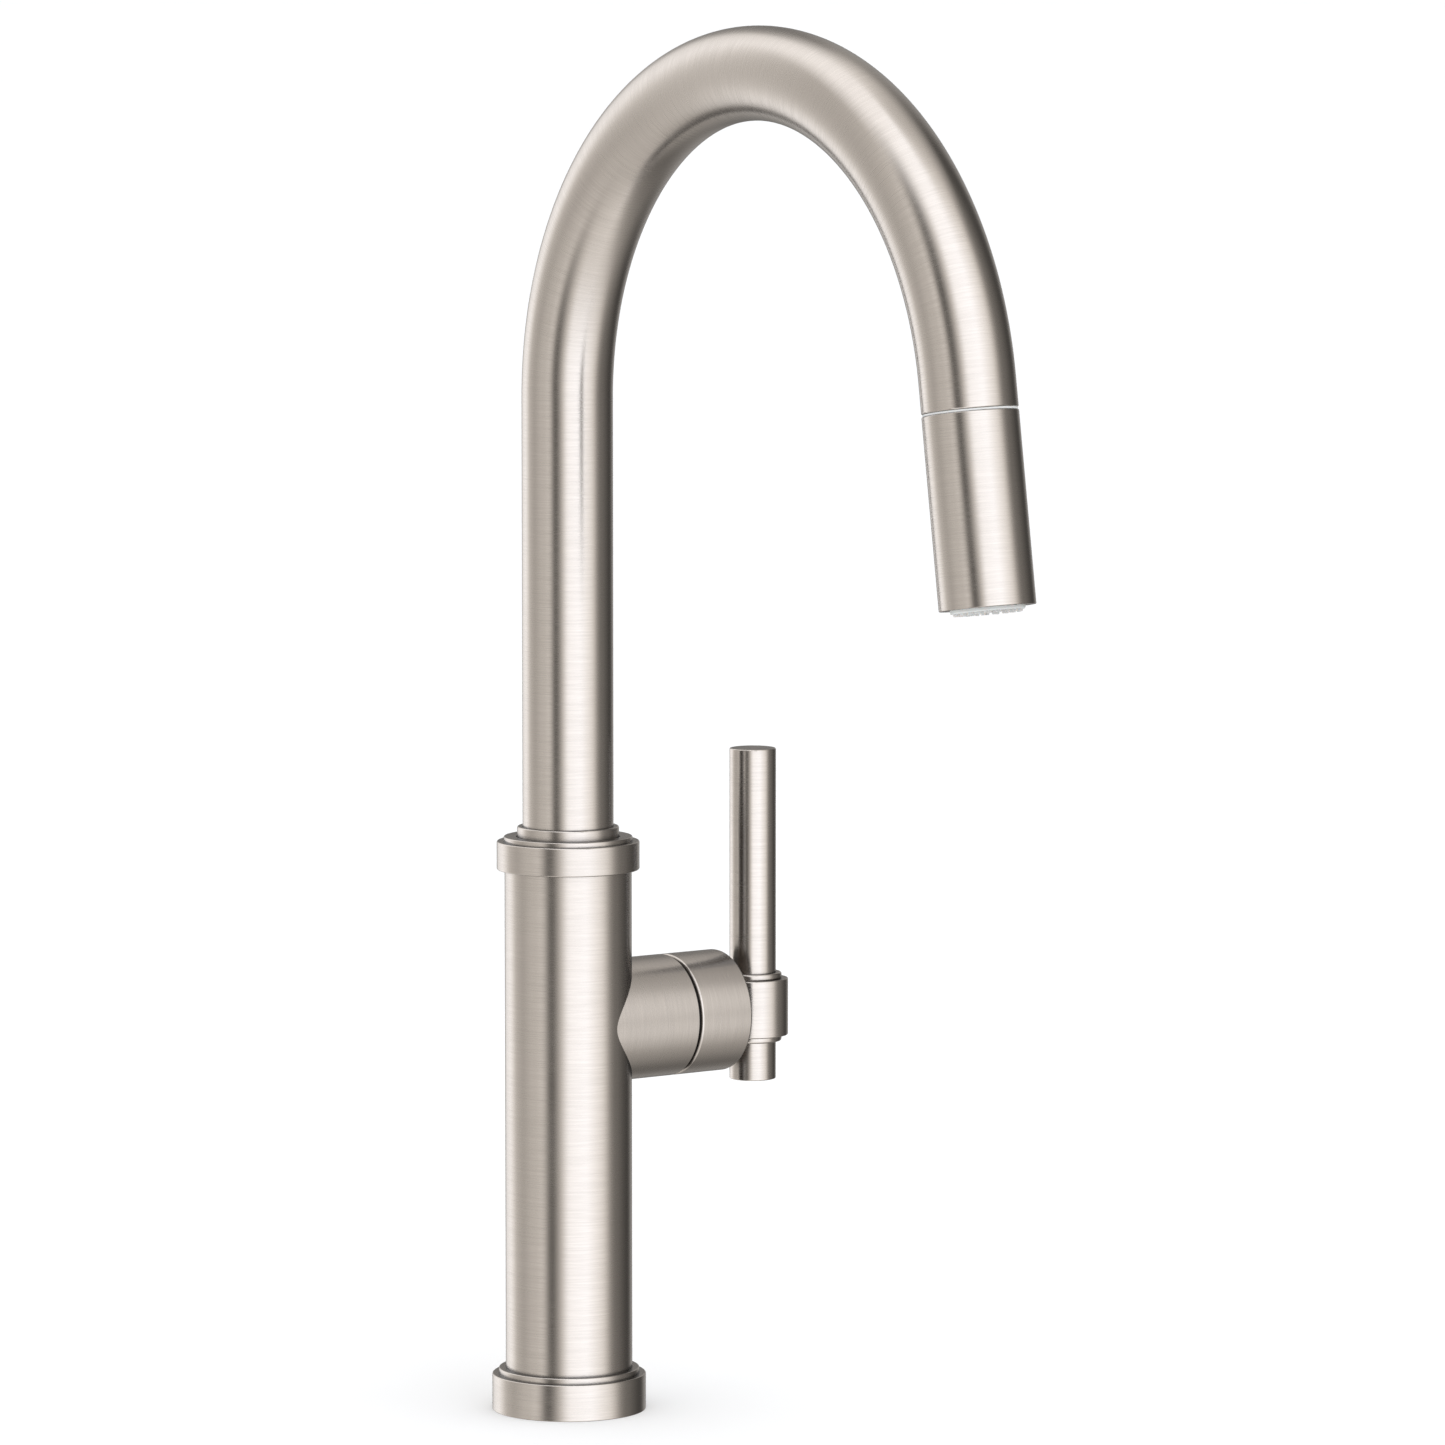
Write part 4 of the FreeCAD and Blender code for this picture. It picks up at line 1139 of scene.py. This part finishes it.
def makeWorld():
    world = bpy.data.worlds.new("studio")
    world.use_nodes = True
    tree = world.node_tree
    tree.nodes.clear()
    place = addNode(tree, "ShaderNodeTexCoord", -1900, 0)
    facing = addNode(tree, "ShaderNodeMapping", -1700, 0, vector_type="POINT")
    facing.inputs["Rotation"].default_value = (0, 0, math.radians(90 - camera["azimuth"]))
    tree.links.new(place.outputs["Generated"], facing.inputs["Vector"])
    split = addNode(tree, "ShaderNodeSeparateXYZ", -1500, 0)
    tree.links.new(facing.outputs["Vector"], split.inputs["Vector"])
    radians = mathNode(tree, "ARCTAN2", split.outputs["Y"], split.outputs["X"], -1300, 100)
    turned = mathNode(tree, "DEGREES", radians, None, -1100, 100)
    steep = mathNode(tree, "ABSOLUTE", split.outputs["Z"], None, -1300, -300)
    flare = mathNode(tree, "MULTIPLY_ADD", steep, studio["softboxFlare"], -1100, -300)
    flare.node.inputs[2].default_value = 1.0
    fromMiddle = mathNode(tree, "SUBTRACT", turned, studio["softboxMiddle"], -900, -200)
    across = mathNode(tree, "DIVIDE", fromMiddle, flare, -700, -200)
    level = studioRamp(tree, turned, studio["level"], -300, 300)
    softbox = studioRamp(tree, across, studio["softbox"], -300, 0)
    high = studioRamp(tree, turned, studio["high"], -300, -300)
    low = studioRamp(tree, turned, studio["low"], -300, -600)
    highShare = rangeNode(tree, split.outputs["Z"], *studio["highBand"], 0.0, 1.0, -300, -900)
    lowShare = rangeNode(tree, split.outputs["Z"], *studio["lowBand"], 0.0, 1.0, -300, -1100)
    front = softbox.outputs["Color"]
    colour = mixColours(tree, softbox.outputs["Alpha"], level.outputs["Color"], front, 0, 200)
    colour = mixColours(tree, highShare, colour, high.outputs["Color"], 200, 100)
    colour = mixColours(tree, lowShare, colour, low.outputs["Color"], 400, 0)
    around = addNode(tree, "ShaderNodeBackground", 600, 0)
    around.inputs["Strength"].default_value = studio["brightness"] * max(studio["coolness"])
    path = addNode(tree, "ShaderNodeLightPath", 200, 500)
    # true from the second reflection on
    again = mathNode(tree, "GREATER_THAN", path.outputs["Glossy Depth"], 1.5, 400, 400)
    dimmed = addNode(tree, "ShaderNodeMix", 450, -200, data_type="RGBA", blend_type="MULTIPLY")
    dimmed.inputs[0].default_value = 1.0
    dimmed.inputs[7].default_value = (*studio["twiceReflected"], 1)
    tree.links.new(colour, dimmed.inputs[6])
    tree.links.new(mixColours(tree, again, colour, dimmed.outputs[2], 500, -100), around.inputs["Color"])
    even = addNode(tree, "ShaderNodeBackground", 600, -200)
    setInputs(even, Color=(1, 1, 1, 1), Strength=studio["mattLight"])
    seen = addNode(tree, "ShaderNodeBackground", 600, 200)
    seen.inputs["Color"].default_value = (1, 1, 1, 1)
    matt = addNode(tree, "ShaderNodeMixShader", 850, -100)
    tree.links.new(path.outputs["Is Diffuse Ray"], matt.inputs[0])
    tree.links.new(around.outputs["Background"], matt.inputs[1])
    tree.links.new(even.outputs["Background"], matt.inputs[2])
    mix = addNode(tree, "ShaderNodeMixShader", 1050, 100)
    tree.links.new(path.outputs["Is Camera Ray"], mix.inputs[0])
    tree.links.new(matt.outputs["Shader"], mix.inputs[1])
    tree.links.new(seen.outputs["Background"], mix.inputs[2])
    output = addNode(tree, "ShaderNodeOutputWorld", 1250, 100)
    tree.links.new(mix.outputs["Shader"], output.inputs["Surface"])
    bpy.context.scene.world = world


makeWorld()

lamps = [
    {"name": "overheadSoftbox", "at": (0.3, -0.6, 2.4), "size": 2.4, "power": 6.0},
    {"name": "keySoftbox", "at": (-0.6, -2.2, 1.6), "size": 1.6, "power": 3.0},
]
aim = Vector((0, -0.08, 0.2))
for lamp in lamps:
    light = bpy.data.lights.new(lamp["name"], "AREA")
    light.shape = "SQUARE"
    light.size = lamp["size"]
    light.energy = lamp["power"]
    box = bpy.data.objects.new(lamp["name"], light)
    box.location = lamp["at"]
    box.rotation_euler = (aim - Vector(lamp["at"])).to_track_quat("-Z", "Y").to_euler()
    box.visible_glossy = False
    bpy.context.scene.collection.objects.link(box)


floorPaint = {
    "dark": (0.90, 0.90, 0.90),
    "light": (0.91, 0.91, 0.91),
    "halfSize": 60,  # m
}


def makeFloor():
    material, tree, shader = newMaterial("floorPaint", Roughness=0.9, Specular_IOR_Level=0.1)
    place = addNode(tree, "ShaderNodeTexCoord", -900, 0)
    noise = addNode(tree, "ShaderNodeTexNoise", -600, 0)
    setInputs(noise, Scale=1.5, Detail=2.0)
    tree.links.new(place.outputs["Object"], noise.inputs["Vector"])
    colour = mixColours(tree, noise.outputs["Fac"], floorPaint["dark"], floorPaint["light"], 0, 0)
    tree.links.new(colour, shader.inputs["Base Color"])
    bm = bmesh.new()
    bmesh.ops.create_grid(bm, x_segments=4, y_segments=4, size=floorPaint["halfSize"])
    mesh = bpy.data.meshes.new("Floor")
    bm.to_mesh(mesh)
    bm.free()
    mesh.materials.append(material)
    floor = bpy.data.objects.new("Floor", mesh)
    bpy.context.scene.collection.objects.link(floor)
    floor.visible_glossy = False


makeFloor()

lens = bpy.data.cameras.new("camera")
lens.lens = camera["lens"]
lens.sensor_width = camera["sensor"]
lens.clip_end = camera["farthest"]
viewer = bpy.data.objects.new("camera", lens)
viewer.location = camera["at"]
viewer.rotation_euler = (math.radians(90 - camera["elevation"]), 0, math.radians(camera["azimuth"]))
bpy.context.scene.collection.objects.link(viewer)
bpy.context.scene.camera = viewer
bpy.context.scene.view_settings.view_transform = "Standard"
print("studio made")

bpy.context.view_layer.update()
